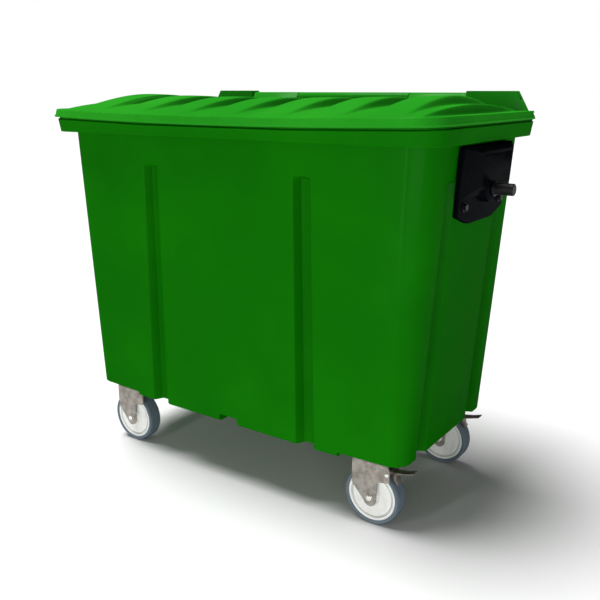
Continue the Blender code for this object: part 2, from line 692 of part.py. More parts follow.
def build():
    """Builds every part under one frame."""
    for piece in list(bpy.data.objects):
        bpy.data.objects.remove(piece, do_unlink=True)
    frame = empty("container_frame", None, (0, FRAME_Y, 0))
    make_tub(frame)
    hinge = empty("lid_hinge_axis", frame, (0, HINGE_Y, HINGE_Z))
    make_lid(hinge)
    make_hinge_rod(frame)
    make_trunnion(frame, 1, "right")
    make_trunnion(frame, -1, "left")
    make_drain_plug(frame)
    places = {"front_right": (1, -1), "front_left": (-1, -1), "rear_right": (1, 1), "rear_left": (-1, 1)}
    for name, (side_x, side_y) in places.items():
        swivel, fork = make_castor(frame, name, side_x, side_y)
        if side_x > 0:
            make_brake(name, swivel, fork)


build()
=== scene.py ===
"""Four-wheeled waste container: finished looks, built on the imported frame.

Metres, +Z up, ground at z = 0. X runs along the long side, the front faces -Y
and the lid's hinge is at the rear.
"""

import logging
import math
from collections.abc import Sequence
from dataclasses import dataclass
from enum import Enum
from functools import cached_property

import bmesh
import bpy
from mathutils import Matrix, Quaternion, Vector


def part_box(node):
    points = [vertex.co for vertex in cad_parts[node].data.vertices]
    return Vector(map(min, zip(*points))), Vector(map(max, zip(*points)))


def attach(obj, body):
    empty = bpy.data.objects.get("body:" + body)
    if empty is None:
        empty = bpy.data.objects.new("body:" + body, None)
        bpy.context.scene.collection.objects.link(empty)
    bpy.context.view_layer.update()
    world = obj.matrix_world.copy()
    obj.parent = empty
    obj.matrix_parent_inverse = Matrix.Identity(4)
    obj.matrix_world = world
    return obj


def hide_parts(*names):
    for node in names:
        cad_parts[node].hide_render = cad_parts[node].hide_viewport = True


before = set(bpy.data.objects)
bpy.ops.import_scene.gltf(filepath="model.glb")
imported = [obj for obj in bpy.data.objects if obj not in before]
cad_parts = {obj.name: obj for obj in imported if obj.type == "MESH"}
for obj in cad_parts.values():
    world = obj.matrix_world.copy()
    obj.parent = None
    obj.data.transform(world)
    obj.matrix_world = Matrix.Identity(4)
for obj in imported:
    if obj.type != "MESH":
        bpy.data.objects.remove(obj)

LOG = logging.getLogger("waste_container")
NEARLY_STRAIGHT = 3.05  # radians, past which a corner is only divided
STRAIGHT_REACH = 0.0015  # metres that such a corner's points spread
WELD = 0.000005  # metres within which points become one

Flat = tuple[float, float]
Point = tuple[float, float, float]
Ring = list[Point]


# ------------------------------------------------------------------ shaders


class Wire:
    """A node's output, usable in Python sums."""

    def __init__(self, tree: "Nodes", socket: bpy.types.NodeSocket) -> None:
        """Wraps one output socket of a node tree."""
        self.tree = tree
        self.socket = socket

    def _maths(self, operation: str, first: "Wire | float", second: "Wire | float") -> "Wire":
        """Returns the result of a Math node with two values."""
        return self.tree.add("ShaderNodeMath", {"operation": operation}, {0: first, 1: second})

    def __add__(self, other: "Wire | float") -> "Wire":
        """Returns self + other."""
        return self._maths("ADD", self, other)

    __radd__ = __add__

    def __sub__(self, other: "Wire | float") -> "Wire":
        """Returns self - other."""
        return self._maths("SUBTRACT", self, other)

    def __rsub__(self, other: float) -> "Wire":
        """Returns other - self."""
        return self._maths("SUBTRACT", other, self)

    def __mul__(self, other: "Wire | float") -> "Wire":
        """Returns self * other."""
        return self._maths("MULTIPLY", self, other)

    __rmul__ = __mul__

    def between(self, low: float, high: float) -> "Wire":
        """Returns the value rescaled from low..high to 0..1, smoothly, and held at the ends."""
        return self.tree.add("ShaderNodeMapRange", {"interpolation_type": "SMOOTHSTEP"},
                               {"Value": self, "From Min": low, "From Max": high})


class Nodes:
    """A node tree, with the one method that adds nodes to it."""

    def __init__(self, tree: bpy.types.NodeTree) -> None:
        """Takes up a tree."""
        self.nodes, self.links = tree.nodes, tree.links

    def feed(self, node: bpy.types.Node, key: "str | int", value: object) -> None:
        """Links a wire to an input, or sets the input's own value.

        Args:
            node: the node that has the input.
            key: the input's name or place.
            value: a Wire, a number or a tuple.
        """
        if isinstance(value, Wire):
            self.links.new(value.socket, node.inputs[key])
        else:
            node.inputs[key].default_value = value

    def add(self, kind: str, settings: "dict[str, object] | None" = None,
            inputs: "dict[str | int, object] | None" = None, output: "str | int" = 0) -> Wire:
        """Adds a node of any kind.

        Args:
            kind: the node's type.
            settings: its properties, which are set first.
            inputs: the values or wires of its sockets.
            output: the output to return.

        Returns:
            The chosen output.
        """
        node = self.nodes.new(kind)
        for key, value in (settings or {}).items():
            setattr(node, key, value)
        for key, value in (inputs or {}).items():
            self.feed(node, key, value)
        return Wire(self, node.outputs[output])


class Shader(Nodes):
    """One node material with a Principled shader."""

    def __init__(self, name: str) -> None:
        """Starts an empty node material.

        Args:
            name: the material's name.
        """
        self.material = bpy.data.materials.new(name)
        self.material.use_nodes = True
        super().__init__(self.material.node_tree)
        self.surface = self.nodes["Principled BSDF"]

    def place(self) -> Wire:
        """Returns the point on the piece, in metres."""
        return self.add("ShaderNodeTexCoord", output="Object")

    def stretched(self, scale: Point, turn: Point = (0.0, 0.0, 0.0)) -> Wire:
        """Returns the point on the piece, turned and scaled along each axis."""
        return self.add("ShaderNodeMapping", None, {"Vector": self.place(), "Scale": scale, "Rotation": turn})

    def noise(self, scale: float, detail: float = 3.0, roughness: float = 0.5,
              spot: "Wire | None" = None) -> Wire:
        """Returns a noise about 0.5, its scale in cycles for each metre, read at a spot on the piece."""
        return self.add("ShaderNodeTexNoise", None, {
            "Vector": spot or self.place(), "Scale": scale, "Detail": detail, "Roughness": roughness})

    def mix(self, factor: "Wire | float", first: object, second: object) -> Wire:
        """Returns the mix of two colours, the first at factor 0 and the second at 1."""
        return self.add("ShaderNodeMix", {"data_type": "RGBA"}, {0: factor, 6: first, 7: second}, 2)

    def bump(self, height: Wire, distance: float, strength: float = 1.0, under: "Wire | None" = None) -> Wire:
        """Adds a bump.

        Args:
            height: the height field.
            distance: metres for a height of 1.
            strength: how much of it shows.
            under: a bump that this one lies on.

        Returns:
            The normal.
        """
        inputs: dict[str | int, object] = {"Height": height, "Distance": distance, "Strength": strength}
        if under:
            inputs["Normal"] = under
        return self.add("ShaderNodeBump", None, inputs)

    def finish(self, **sockets: object) -> bpy.types.Material:
        """Feeds the Principled shader.

        Args:
            **sockets: input names, with _ for a space, and their values or wires.

        Returns:
            The finished material.
        """
        for key, value in sockets.items():
            self.feed(self.surface, key.replace("_", " "), value)
        return self.material


def rgb(red: float, green: float, blue: float) -> tuple[float, float, float, float]:
    """Returns a solid colour."""
    return (red, green, blue, 1.0)


@dataclass(frozen=True)
class Finish:
    """What every finish has: a name and the record's material slot."""

    name: str
    slot: str

    def material(self) -> bpy.types.Material:
        """Returns the finish's material, made on first use."""
        return bpy.data.materials.get(self.name) or self.mix_up(Shader(self.name))

    def mix_up(self, shader: Shader) -> bpy.types.Material:
        """Builds the nodes and returns the material."""
        raise NotImplementedError


@dataclass(frozen=True)
class MouldedGreen(Finish):
    """Satin polyethylene, with a fine mould grain, slow ripples in the panels and light scuffs."""

    colour: Point = (0.0030, 0.128, 0.0004)
    roughness: float = 0.34
    grain: float = 0.00016
    ripple: float = 0.0016
    sheen: float = 0.016

    def mix_up(self, shader: Shader) -> bpy.types.Material:
        """Builds the nodes.

        Args:
            shader: the empty material.

        Returns:
            The material.
        """
        red, green, blue = self.colour
        cloud = shader.noise(2.6, 3.0, 0.55).between(0.35, 0.70)
        deep, light = rgb(red * 0.85, green * 0.90, blue), rgb(red * 1.25, green * 1.07, blue * 1.3)
        base = shader.mix(cloud, deep, light)
        streaks = shader.noise(9.0, 4.0, 0.62, shader.stretched((1.0, 1.0, 9.0))).between(0.62, 0.80)
        scratch = shader.noise(120.0, 2.0, 0.5, shader.stretched((1.0, 1.0, 0.06), (0.10, 0.16, 0.0)))
        lines = scratch.between(0.68, 0.74) * streaks
        worn = shader.mix(lines * 0.30, base, rgb(red + 0.05, green * 1.4, blue + 0.04))
        rough = self.roughness + (cloud - 0.5) * 0.08 + lines * 0.15
        slow = shader.bump(shader.noise(3.2, 1.0, 0.4), self.ripple, 0.6)
        skin_grain = shader.noise(1400.0, 2.0, 0.6) + shader.noise(420.0, 2.0, 0.5) * 0.7
        fine = shader.bump(skin_grain, self.grain, 0.55, slow)
        return shader.finish(Base_Color=worn, Roughness=rough, Normal=fine, Specular_IOR_Level=0.0,
                             Coat_Weight=self.sheen, Coat_IOR=1.8, Coat_Roughness=0.22)


@dataclass(frozen=True)
class BlackPlastic(Finish):
    """Black moulded plastic, slightly dusty in patches."""

    colour: Point = (0.0010, 0.0018, 0.0028)
    roughness: float = 0.50
    knurl: float = 0.0

    def mix_up(self, shader: Shader) -> bpy.types.Material:
        """Builds the nodes.

        Args:
            shader: the empty material.

        Returns:
            The material.
        """
        dust = shader.noise(26.0, 4.0, 0.6).between(0.50, 0.75)
        grey = tuple(c * 2.0 + 0.0015 for c in self.colour)
        base = shader.mix(dust * 0.6, rgb(*self.colour), rgb(*grey))
        normal = shader.bump(shader.noise(1100.0, 2.0, 0.6), 0.00014, 0.5)
        if self.knurl:
            waves = [shader.add("ShaderNodeTexWave", {"wave_type": "BANDS", "bands_direction": "Z"}, {
                "Vector": shader.stretched((1.0, 1.0, 1.0), (side * math.pi / 4, 0.0, 0.0)),
                "Scale": math.tau / 20 / self.knurl}, "Fac") for side in (-1, 1)]
            normal = shader.bump(waves[0] * waves[1], 0.0012, 0.9, normal)
        return shader.finish(Base_Color=base, Roughness=self.roughness + dust * 0.12, Normal=normal,
                             Specular_IOR_Level=0.0, Coat_Weight=0.035, Coat_IOR=1.8, Coat_Roughness=0.30)


@dataclass(frozen=True)
class Steel(Finish):
    """Plated or painted steel, with blotches and rust that gathers in its pits."""

    colour: Point = (0.30, 0.27, 0.24)
    blotch: Point = (0.20, 0.17, 0.14)
    metallic: float = 0.75
    roughness: float = 0.45
    rust: float = 0.3
    shine: float = 0.5

    def mix_up(self, shader: Shader) -> bpy.types.Material:
        """Builds the nodes.

        Args:
            shader: the empty material.

        Returns:
            The material.
        """
        cloud = shader.noise(45.0, 4.0, 0.62).between(0.35, 0.68)
        base = shader.mix(cloud, rgb(*self.colour), rgb(*self.blotch))
        patches = shader.noise(28.0, 2.0, 0.5).between(0.48, 0.66)
        pits = shader.noise(150.0, 4.0, 0.7).between(0.56, 0.70) * patches
        rusty = shader.mix(pits * self.rust, base, rgb(0.085, 0.030, 0.012))
        rolled = shader.noise(260.0, 3.0, 0.6, shader.stretched((0.25, 1.0, 1.0)))
        normal = shader.bump(rolled + pits, 0.00022, 0.6)
        return shader.finish(
            Base_Color=rusty, Metallic=self.metallic - pits * 0.5 * self.rust,
            Roughness=self.roughness + cloud * 0.12 + pits * 0.25 * self.rust, Normal=normal,
            Specular_IOR_Level=self.shine)


@dataclass(frozen=True)
class PaleHub(Finish):
    """Pale grey moulded wheel centre, dusty in patches."""

    colour: Point = (0.84, 0.85, 0.82)

    def mix_up(self, shader: Shader) -> bpy.types.Material:
        """Builds the nodes.

        Args:
            shader: the empty material.

        Returns:
            The material.
        """
        dust = shader.noise(38.0, 4.0, 0.6).between(0.42, 0.74)
        base = shader.mix(dust * 0.45, rgb(*self.colour), rgb(0.62, 0.62, 0.57))
        specks = shader.noise(420.0, 2.0, 0.6).between(0.66, 0.74)
        marked = shader.mix(specks * 0.35, base, rgb(0.25, 0.24, 0.21))
        normal = shader.bump(shader.noise(900.0, 2.0, 0.5), 0.00010, 0.5)
        return shader.finish(Base_Color=marked, Roughness=0.40 + dust * 0.15, Normal=normal)


@dataclass(frozen=True)
class GreyRubber(Finish):
    """Blue-grey rubber tread, scuffed where it rolls."""

    colour: Point = (0.100, 0.140, 0.172)

    def mix_up(self, shader: Shader) -> bpy.types.Material:
        """Builds the nodes.

        Args:
            shader: the empty material.

        Returns:
            The material.
        """
        dust = shader.noise(60.0, 5.0, 0.65).between(0.44, 0.70)
        dark = tuple(c * 0.55 for c in self.colour)
        base = shader.mix(dust, rgb(*dark), rgb(*self.colour))
        grit = shader.noise(700.0, 3.0, 0.7)
        normal = shader.bump(grit + dust * 0.6, 0.00025, 0.6)
        return shader.finish(Base_Color=base, Roughness=0.62 + dust * 0.16, Normal=normal,
                             Specular_IOR_Level=0.35)


@dataclass(frozen=True)
class PaleFloor(Finish):
    """Even, pale studio floor."""

    def mix_up(self, shader: Shader) -> bpy.types.Material:
        """Builds the nodes."""
        return shader.finish(Base_Color=rgb(0.66, 0.66, 0.66), Roughness=0.8)


class Look(Enum):
    """The finishes of this container."""

    GREEN = MouldedGreen("moulded_green", "green_polyethylene")
    # A lighter copy of the moulded green with a stronger coat: painted light, standing in for the bright top
    # light on the lid, its barrels, the rear rail and the ears.
    PAINTED_LIGHT_GREEN = MouldedGreen("moulded_green_painted_light", "green_polyethylene", colour=(0.014, 0.228, 0.009),
                             roughness=0.32, sheen=0.035)
    BLACK = BlackPlastic("black_plastic", "black_polymer")
    KNURLED = BlackPlastic("black_knurled_plastic", "black_polymer", knurl=0.0080)
    BLACK_STEEL = Steel("black_painted_steel", "black_steel", colour=(0.003, 0.0035, 0.0045),
                        blotch=(0.006, 0.006, 0.007), metallic=0.0, roughness=0.40, rust=0.06, shine=0.16)
    DULL_ZINC = Steel("dull_zinc", "zinc_steel", colour=(0.360, 0.335, 0.300), blotch=(0.220, 0.195, 0.165),
                      metallic=0.30, roughness=0.46, rust=0.35)
    RUSTY_ZINC = Steel("rusty_zinc", "zinc_steel", colour=(0.210, 0.160, 0.120), blotch=(0.120, 0.070, 0.045),
                       metallic=0.45, roughness=0.55, rust=0.9)
    WORN_STEEL = Steel("worn_steel", "zinc_steel", colour=(0.200, 0.180, 0.160), blotch=(0.090, 0.075, 0.062),
                       metallic=0.55, roughness=0.40, rust=0.5)
    BRIGHT_ZINC = Steel("bright_zinc", "bright_zinc", colour=(0.80, 0.80, 0.78), blotch=(0.62, 0.62, 0.60),
                        metallic=0.95, roughness=0.22, rust=0.05)
    HUB = PaleHub("pale_hub", "hub_polymer")
    NYLON = PaleHub("natural_nylon", "nylon", colour=(0.55, 0.52, 0.45))
    RUBBER = GreyRubber("grey_rubber", "grey_rubber")
    FLOOR = PaleFloor("pale_floor", "")


# ------------------------------------------------------------------ shaping


class Axis(Enum):
    """The direction of a turned piece's axis."""

    X = Matrix.Rotation(math.pi / 2, 3, "Y")
    Y = Matrix.Rotation(-math.pi / 2, 3, "X")
    Z = Matrix.Identity(3)


class Plane(Enum):
    """The plane of an outline: its two axes, then the axis that it is drawn out along."""

    XZ = (0, 2, 1)
    YZ = (1, 2, 0)
    XY = (0, 1, 2)


class Join(Enum):
    """What happens to a piece where another one covers it."""

    CUT = "DIFFERENCE"
    ADD = "UNION"
    KEEP = "INTERSECT"


def fillet(before: Vector, corner: Vector, after: Vector, radius: float, steps: int,
           share: float) -> list[Flat]:
    """Rounds one corner of an outline.

    Args:
        before: the point before the corner.
        corner: the corner.
        after: the point after it.
        radius: the wanted radius.
        steps: how many chords the arc has.
        share: the most of the shorter side that the arc may use.

    Returns:
        The arc's points, always steps + 1 of them.
    """
    back, ahead = before - corner, after - corner
    room = share * min(back.length, ahead.length)
    back.normalize()
    ahead.normalize()
    opening = back.angle(ahead)
    if opening > NEARLY_STRAIGHT:
        reach = min(STRAIGHT_REACH, room)
        ways = [1 - 2 * k / steps for k in range(steps + 1)]
        return [tuple(corner + (back if way > 0 else ahead) * abs(way) * reach) for way in ways]
    reach = min(radius / math.tan(opening / 2), room)
    round_radius = reach * math.tan(opening / 2)
    centre = corner + (back + ahead).normalized() * (round_radius / math.sin(opening / 2))
    spoke = corner + back * reach - centre
    sense = 1.0 if back.x * ahead.y - back.y * ahead.x < 0 else -1.0
    points = []
    for k in range(steps + 1):
        turn = Matrix.Rotation(sense * (math.pi - opening) * k / steps, 2)
        points.append(tuple(centre + turn @ spoke))
    return points


def rounded(outline: Sequence[Flat], radius: "float | Sequence[float]", steps: "int | Sequence[int]" = 4,
            share: float = 0.45) -> list[Flat]:
    """Rounds every corner of a closed outline.

    Args:
        outline: the corners in order.
        radius: one radius, or one for each corner.
        steps: chords for each arc, one number or one for each corner.
        share: the most of a side that one arc may use.

    Returns:
        The rounded outline.
    """
    corners = [Vector(point) for point in outline]
    count = len(corners)
    radii = [radius] * count if isinstance(radius, (int, float)) else list(radius)
    chords = [steps] * count if isinstance(steps, int) else list(steps)
    points: list[Flat] = []
    for i, corner in enumerate(corners):
        points += fillet(corners[i - 1], corner, corners[(i + 1) % count], radii[i], chords[i], share)
    return points


class Piece:
    """One visible piece while it is being made."""

    def __init__(self, name: str) -> None:
        """Starts an empty piece.

        Args:
            name: the object's name.
        """
        self.name = name
        self.shape = bmesh.new()
        self.object: bpy.types.Object | None = None

    def skin(self, rings: Sequence[Sequence[Point]], closed: bool = False) -> "Piece":
        """Joins rings of points with faces.

        Args:
            rings: rings with the same number of points.
            closed: joins the last ring to the first, instead of capping both ends.

        Returns:
            The piece.
        """
        rows = [[self.shape.verts.new(point) for point in ring] for ring in rings]
        pairs = list(zip(rows, rows[1:]))
        if closed:
            pairs.append((rows[-1], rows[0]))
        for low, high in pairs:
            for i in range(len(low)):
                j = (i + 1) % len(low)
                self.shape.faces.new((low[i], low[j], high[j], high[i]))
        if not closed:
            self.shape.faces.new(list(reversed(rows[0])))
            self.shape.faces.new(rows[-1])
        return self

    def turned(self, profile: Sequence[Flat], steps: int = 64, axis: Axis = Axis.Z,
               at: Point = (0.0, 0.0, 0.0), closed: bool = False) -> "Piece":
        """Adds a turned solid.

        Args:
            profile: (radius, height) from bottom to top on the outer side.
            steps: facets round the axis.
            axis: the axis's direction.
            at: a point on the axis.
            closed: the profile is a loop, for a ring.

        Returns:
            The piece.
        """
        rings = []
        for radius, height in profile:
            angles = [math.tau * i / steps for i in range(steps)]
            rings.append([tuple(axis.value @ Vector((radius * math.cos(a), radius * math.sin(a), height))
                                + Vector(at)) for a in angles])
        return self.skin(rings, closed)

    def drawn(self, outline: Sequence[Flat], low: float, high: float, plane: Plane = Plane.XZ,
              at: Point = (0.0, 0.0, 0.0)) -> "Piece":
        """Draws an outline out across its plane.

        Args:
            outline: counter-clockwise as seen from the front, the right or the top.
            low: where it starts.
            high: where it ends.
            plane: the outline's plane.
            at: an offset.

        Returns:
            The piece.
        """
        rings = []
        for depth in (high, low) if plane is Plane.XZ else (low, high):
            ring = []
            for a, b in outline:
                point = list(at)
                for axis, value in zip(plane.value, (a, b, depth)):
                    point[axis] += value
                ring.append(tuple(point))
            rings.append(ring)
        return self.skin(rings)

    def block(self, low: Point, high: Point) -> "Piece":
        """Adds a box between two corners."""
        (x0, y0, z0), (x1, y1, z1) = low, high
        return self.drawn(((x0, y0), (x1, y0), (x1, y1), (x0, y1)), z0, z1, Plane.XY)

    def made(self) -> bpy.types.Object:
        """Returns the piece's object, made on first use."""
        if self.object is None:
            mesh = bpy.data.meshes.new(self.name)
            bmesh.ops.remove_doubles(self.shape, verts=self.shape.verts, dist=WELD)
            self.shape.to_mesh(mesh)
            self.shape.free()
            self.object = bpy.data.objects.new(self.name, mesh)
            bpy.context.scene.collection.objects.link(self.object)
        return self.object

    def _apply(self) -> None:
        """Bakes the modifiers into the mesh."""
        piece = self.made()
        depsgraph = bpy.context.evaluated_depsgraph_get()
        mesh = bpy.data.meshes.new_from_object(piece.evaluated_get(depsgraph))
        piece.modifiers.clear()
        old, piece.data = piece.data, mesh
        bpy.data.meshes.remove(old)

    def combine(self, other: "Piece", join: Join = Join.CUT) -> "Piece":
        """Cuts away, adds or keeps what another piece covers, and uses the other up.

        Args:
            other: the other piece.
            join: what happens where the other one is.

        Returns:
            The piece.
        """
        step = self.made().modifiers.new("combine", "BOOLEAN")
        step.operation = join.value
        step.solver = "MANIFOLD"
        step.object = other.made()
        self._apply()
        bpy.data.objects.remove(other.object)
        return self

    def soften(self, width: float, steps: int = 2, degrees: float = 35.0) -> "Piece":
        """Rounds the edges that are sharper than an angle.

        Args:
            width: the rounding's width.
            steps: its chords.
            degrees: the angle.

        Returns:
            The piece.
        """
        step = self.made().modifiers.new("soften", "BEVEL")
        step.width = width
        step.segments = steps
        step.limit_method = "ANGLE"
        step.angle_limit = math.radians(degrees)
        self._apply()
        return self

    def fit(self, look: Look, body: str, nodes: Sequence[str] = (),
            degrees: float = 30.0) -> bpy.types.Object:
        """Dresses the piece, fixes it to its body and reports it.

        Args:
            look: its finish.
            body: the body that it moves with.
            nodes: the frame's nodes that it stands for.
            degrees: edges sharper than this stay crisp.

        Returns:
            The finished object.
        """
        piece = self.made()
        piece.data.materials.clear()
        piece.data.materials.append(look.value.material())
        piece.data.shade_smooth()
        piece.data.set_sharp_from_angle(angle=math.radians(degrees))
        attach(piece, body)
        if nodes:
            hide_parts(*nodes)
        LOG.info("%s: %d faces on %s", self.name, len(piece.data.polygons), body)
        return piece


def middle(node: str) -> Vector:
    """Returns the middle of a node's box."""
    low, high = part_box(node)
    return (low + high) / 2


def bore(radius: float, reach: float, steps: int, axis: Axis, at: Point) -> Piece:
    """Returns a round cutter about a point, reaching equally far both ways."""
    return Piece("bore").turned([(radius, -reach), (radius, reach)], steps, axis, at)


def sided(outline: Sequence[Flat], side: int) -> list[Flat]:
    """Returns an outline drawn for the right (side 1), or its mirror image for the left (side -1)."""
    return list(outline) if side > 0 else [(-x, z) for x, z in reversed(outline)]


def quarter() -> list[Flat]:
    """Returns (sine, cosine) at five angles over a quarter of a turn."""
    return [(math.sin(math.pi / 8 * i), math.cos(math.pi / 8 * i)) for i in range(5)]


def smoothstep(value: float) -> float:
    """Returns a smooth step from 0 to 1."""
    held = min(1.0, max(0.0, value))
    return held * held * (3 - 2 * held)


# ------------------------------------------------------------------ tub


@dataclass
class Tub:
    """The moulded tub, with its rim, rear rail and ears."""

    base_z: float = 0.188
    pad_z: float = 0.200
    pad_x: float = 0.364
    rim_bottom: float = 0.987
    rim_top: float = 1.035
    base_half: Flat = (0.548, 0.2680)
    neck_half: Flat = (0.600, 0.2840)
    base_shift: float = -0.013
    neck_shift: float = -0.003
    rim_half: Flat = (0.6290, 0.3290)
    rim_flare: float = 0.006
    lip_gap: float = 0.0095
    sag: float = 0.011
    base_corner: float = 0.048
    neck_corner: float = 0.070
    rim_corner: float = 0.072
    base_recess: float = 0.012
    neck_recess: float = 0.005
    wall: float = 0.006
    groove_depth: float = 0.026
    groove_top: float = 0.896
    groove_shelf: float = 0.010
    front_groove: tuple[Point, Point] = ((0.265, 0.0290, 0.0170), (0.255, 0.0260, 0.0150))
    side_groove: tuple[Point, Point] = ((0.154, 0.0270, 0.0150), (0.160, 0.0240, 0.0130))
    notch_half: float = 0.035
    notch_height: float = 0.022
    hinge: Flat = (0.375, 1.081)
    hinge_radius: float = 0.017
    rail_x: float = 0.2055
    ear_x: Flat = (0.3955, 0.5850)
    ear_top_x: float = 0.540
    ear_z: float = 1.1028
    rod_bore_radius: float = 0.0063
    drain_radius: float = 0.0258

    @cached_property
    def centre_y(self) -> float:
        """Where the tub's own middle is in the frame."""
        return middle("trunnion_pin_right").y

    def rise(self, z: float) -> float:
        """Returns how far up the wall a height is, 0 at the base and 1 at the neck."""
        return (z - self.base_z) / (self.rim_bottom - self.base_z)

    def blend(self, low: float, high: float, z: float) -> float:
        """Returns a value at height z between its values at the base and the neck."""
        return low + (high - low) * self.rise(z)

    def end_wall(self, z: float) -> float:
        """Returns the end wall's X at height z."""
        return self.blend(self.base_half[0], self.neck_half[0], z)

    def outline(self, z: float, half: Flat, corner: float, recess: float, shift: float,
                depth: float, widen: float, edge: float) -> Ring:
        """Draws the tub's outline at one height.

        Args:
            z: the height.
            half: half length and half depth.
            corner: the corners' radius.
            recess: how far the long sides fall back towards the corners.
            shift: how far the outline's middle is from the tub's.
            depth: the grooves' depth.
            widen: added to each side of a groove.
            edge: the radius of a groove's edges.

        Returns:
            The outline's points.
        """
        level = min(z, self.rim_bottom)
        (xg, xs, xf), (yg, ys, yf) = (
            [self.blend(low, high, level) for low, high in zip(*ends)]
            for ends in (self.front_groove, self.side_groove))
        a, b = half
        right: list[Flat] = [
            (xg - xs - widen, -b), (xg - xf - widen, depth - b), (xg + xf + widen, depth - b),
            (xg + xs + widen, -b), (a, recess - b), (a, -yg - ys - widen), (a - depth, -yg - yf - widen),
            (a - depth, -yg + yf + widen), (a, -yg + ys + widen)]
        radii = [edge] * 4 + [corner] + [edge] * 4
        chords = [4] * 4 + [14] + [4] * 4
        loop = right + [(x, -y) for x, y in reversed(right)]
        radii, chords = radii + radii[::-1], chords + chords[::-1]
        loop += [(-x, y) for x, y in reversed(loop)]
        radii, chords = radii + radii[::-1], chords + chords[::-1]
        return [(x, y + shift + self.centre_y, z) for x, y in rounded(loop, radii, chords, 0.9)]

    def wall_ring(self, z: float, inset: float = 0.0) -> Ring:
        """Returns the wall's outline at height z, moved inward by inset."""
        shelf = self.groove_top + self.groove_shelf + inset
        depth = self.groove_depth * smoothstep((shelf - z) / self.groove_shelf)
        half = tuple(self.blend(self.base_half[i], self.neck_half[i], z) - inset for i in (0, 1))
        corner = self.blend(self.base_corner, self.neck_corner, z) - inset
        recess = self.blend(self.base_recess, self.neck_recess, z)
        shift = self.blend(self.base_shift, self.neck_shift, z)
        return self.outline(z, half, corner, recess, shift, depth, 0.5 * inset, 0.0045)

    def rim_ring(self, z: float, inset: float) -> Ring:
        """Returns the rim's outline at height z, moved inward by inset."""
        half = (self.rim_half[0] - inset, self.rim_half[1] - inset)
        return self.outline(z, half, self.rim_corner - inset, 0.0, 0.0, 0.0, 0.0, 0.0045)

    def wall_levels(self, start: float) -> list[float]:
        """Returns the heights of the wall's rings above the base's rounding."""
        count = 6
        steady = [start + (self.groove_top - 0.004 - start) * i / count for i in range(count + 1)]
        shelf = [self.groove_top + self.groove_shelf * i / 7 for i in range(-1, 10)]
        return steady + shelf + [0.95, self.rim_bottom - 0.012]

    def outside(self) -> list[Ring]:
        """Returns the rings of the outer skin, from the base to the top of the rim."""
        base = 0.007
        rings = []
        for sine, cosine in quarter():
            rings.append(self.wall_ring(self.base_z + base * (1 - cosine), base * (1 - sine)))
        rings += [self.wall_ring(z) for z in self.wall_levels(self.base_z + base + 0.003)]
        channel = self.rim_top - 0.006
        rings += [self.wall_ring(self.rim_bottom), self.wall_ring(channel)]
        rings.append(self.rim_ring(channel, 0.005))
        lower = ((0.001, 0.005), (0.0, 0.0040), (0.0, 0.0012), (0.0012, 0.0), (0.020, -0.5 * self.rim_flare))
        for rise, inset in lower:
            rings.append(self.rim_ring(self.rim_bottom + rise, self.rim_flare + inset))
        step = self.rim_top - self.lip_gap
        for rise, inset in ((-0.0022, 0.0003), (-0.0008, 0.0012), (0.0, 0.0030), (0.0010, 0.0065)):
            rings.append(self.dipped(self.rim_ring(step + rise, inset)))
        for sine, cosine in quarter():
            rings.append(self.rim_ring(self.rim_top - 0.003 * (1 - sine), 0.0070 + 0.003 * (1 - cosine)))
        return rings

    def dipped(self, ring: Ring) -> Ring:
        """Returns a rim ring that dips along the middle of the long sides, as the lid's lip does."""
        return [(x, y, z - self.sag * max(0.0, 1 - (x / self.rim_half[0]) ** 2)) for x, y, z in ring]

    def inside(self) -> list[Ring]:
        """Returns the rings of the hollow, from the floor up past the rim."""
        base = 0.012
        floor = self.base_z + self.wall
        rings = []
        for sine, cosine in quarter():
            rings.append(self.wall_ring(floor + base * (1 - cosine), self.wall + base * (1 - sine)))
        rings += [self.wall_ring(z, self.wall) for z in self.wall_levels(floor + base + 0.003)]
        for rise, inset in ((-0.006, 0.0), (-0.002, 0.001), (0.0, 0.004), (0.03, 0.004)):
            rings.append(self.wall_ring(self.rim_top + rise, self.wall - inset))
        return rings

    def lifts(self, grow: float) -> Piece:
        """Returns the solid that raises the castor pads and the notch in the base.

        Args:
            grow: how much larger it is than the hollows under the tub.

        Returns:
            The cutter.
        """
        far = 0.8
        cutter = Piece("lifts")
        tall = self.base_z - 0.1
        for side in (-1, 1):
            low, high = sorted((side * (self.pad_x - grow), side * far))
            cutter.block((low, -far, tall), (high, far, self.pad_z + grow))
        reach = self.notch_half + grow
        top = self.base_z + self.notch_height + grow
        shape = rounded([(-reach, tall), (reach, tall), (reach - 0.003, top), (0.003 - reach, top)],
                        [0.0001, 0.0001, 0.006, 0.006], 4)
        cutter.drawn(shape, -far, far)
        return cutter

    def shell(self) -> None:
        """Builds the tub itself."""
        tub = Piece("tub_shell").skin(self.outside())
        hollow = Piece("tub_hollow").skin(self.inside())
        tub.combine(self.lifts(0.0))
        hollow.combine(self.lifts(self.wall))
        tub.combine(hollow)
        drain = middle("drain_plug")
        tub.combine(bore(self.drain_radius, 0.05, 48, Axis.Z, (drain.x, drain.y, self.base_z)))
        tub.fit(Look.GREEN, "tub", ["body_tub"], 32)

    def rail(self) -> None:
        """Builds the rail that carries the hinge rod along the middle of the rear."""
        y, z = self.hinge
        r = self.hinge_radius
        wall_y = self.rim_half[1] - 0.006
        shape: list[Flat] = [(wall_y, self.rim_bottom + 0.004), (y + r, self.rim_bottom + 0.018)]
        shape += [(y + r * math.cos(a), z + r * math.sin(a)) for a in [math.pi * i / 16 for i in range(17)]]
        shape += [(y - r, self.rim_top - 0.003), (wall_y, self.rim_top - 0.003)]
        rail = Piece("rear_rail").drawn(shape, -self.rail_x, self.rail_x, Plane.YZ, (0, self.centre_y, 0))
        rail.combine(self.rod_bore())
        rail.soften(0.0025, 3, 50)
        rail.fit(Look.PAINTED_LIGHT_GREEN, "tub", ["body_tub"])

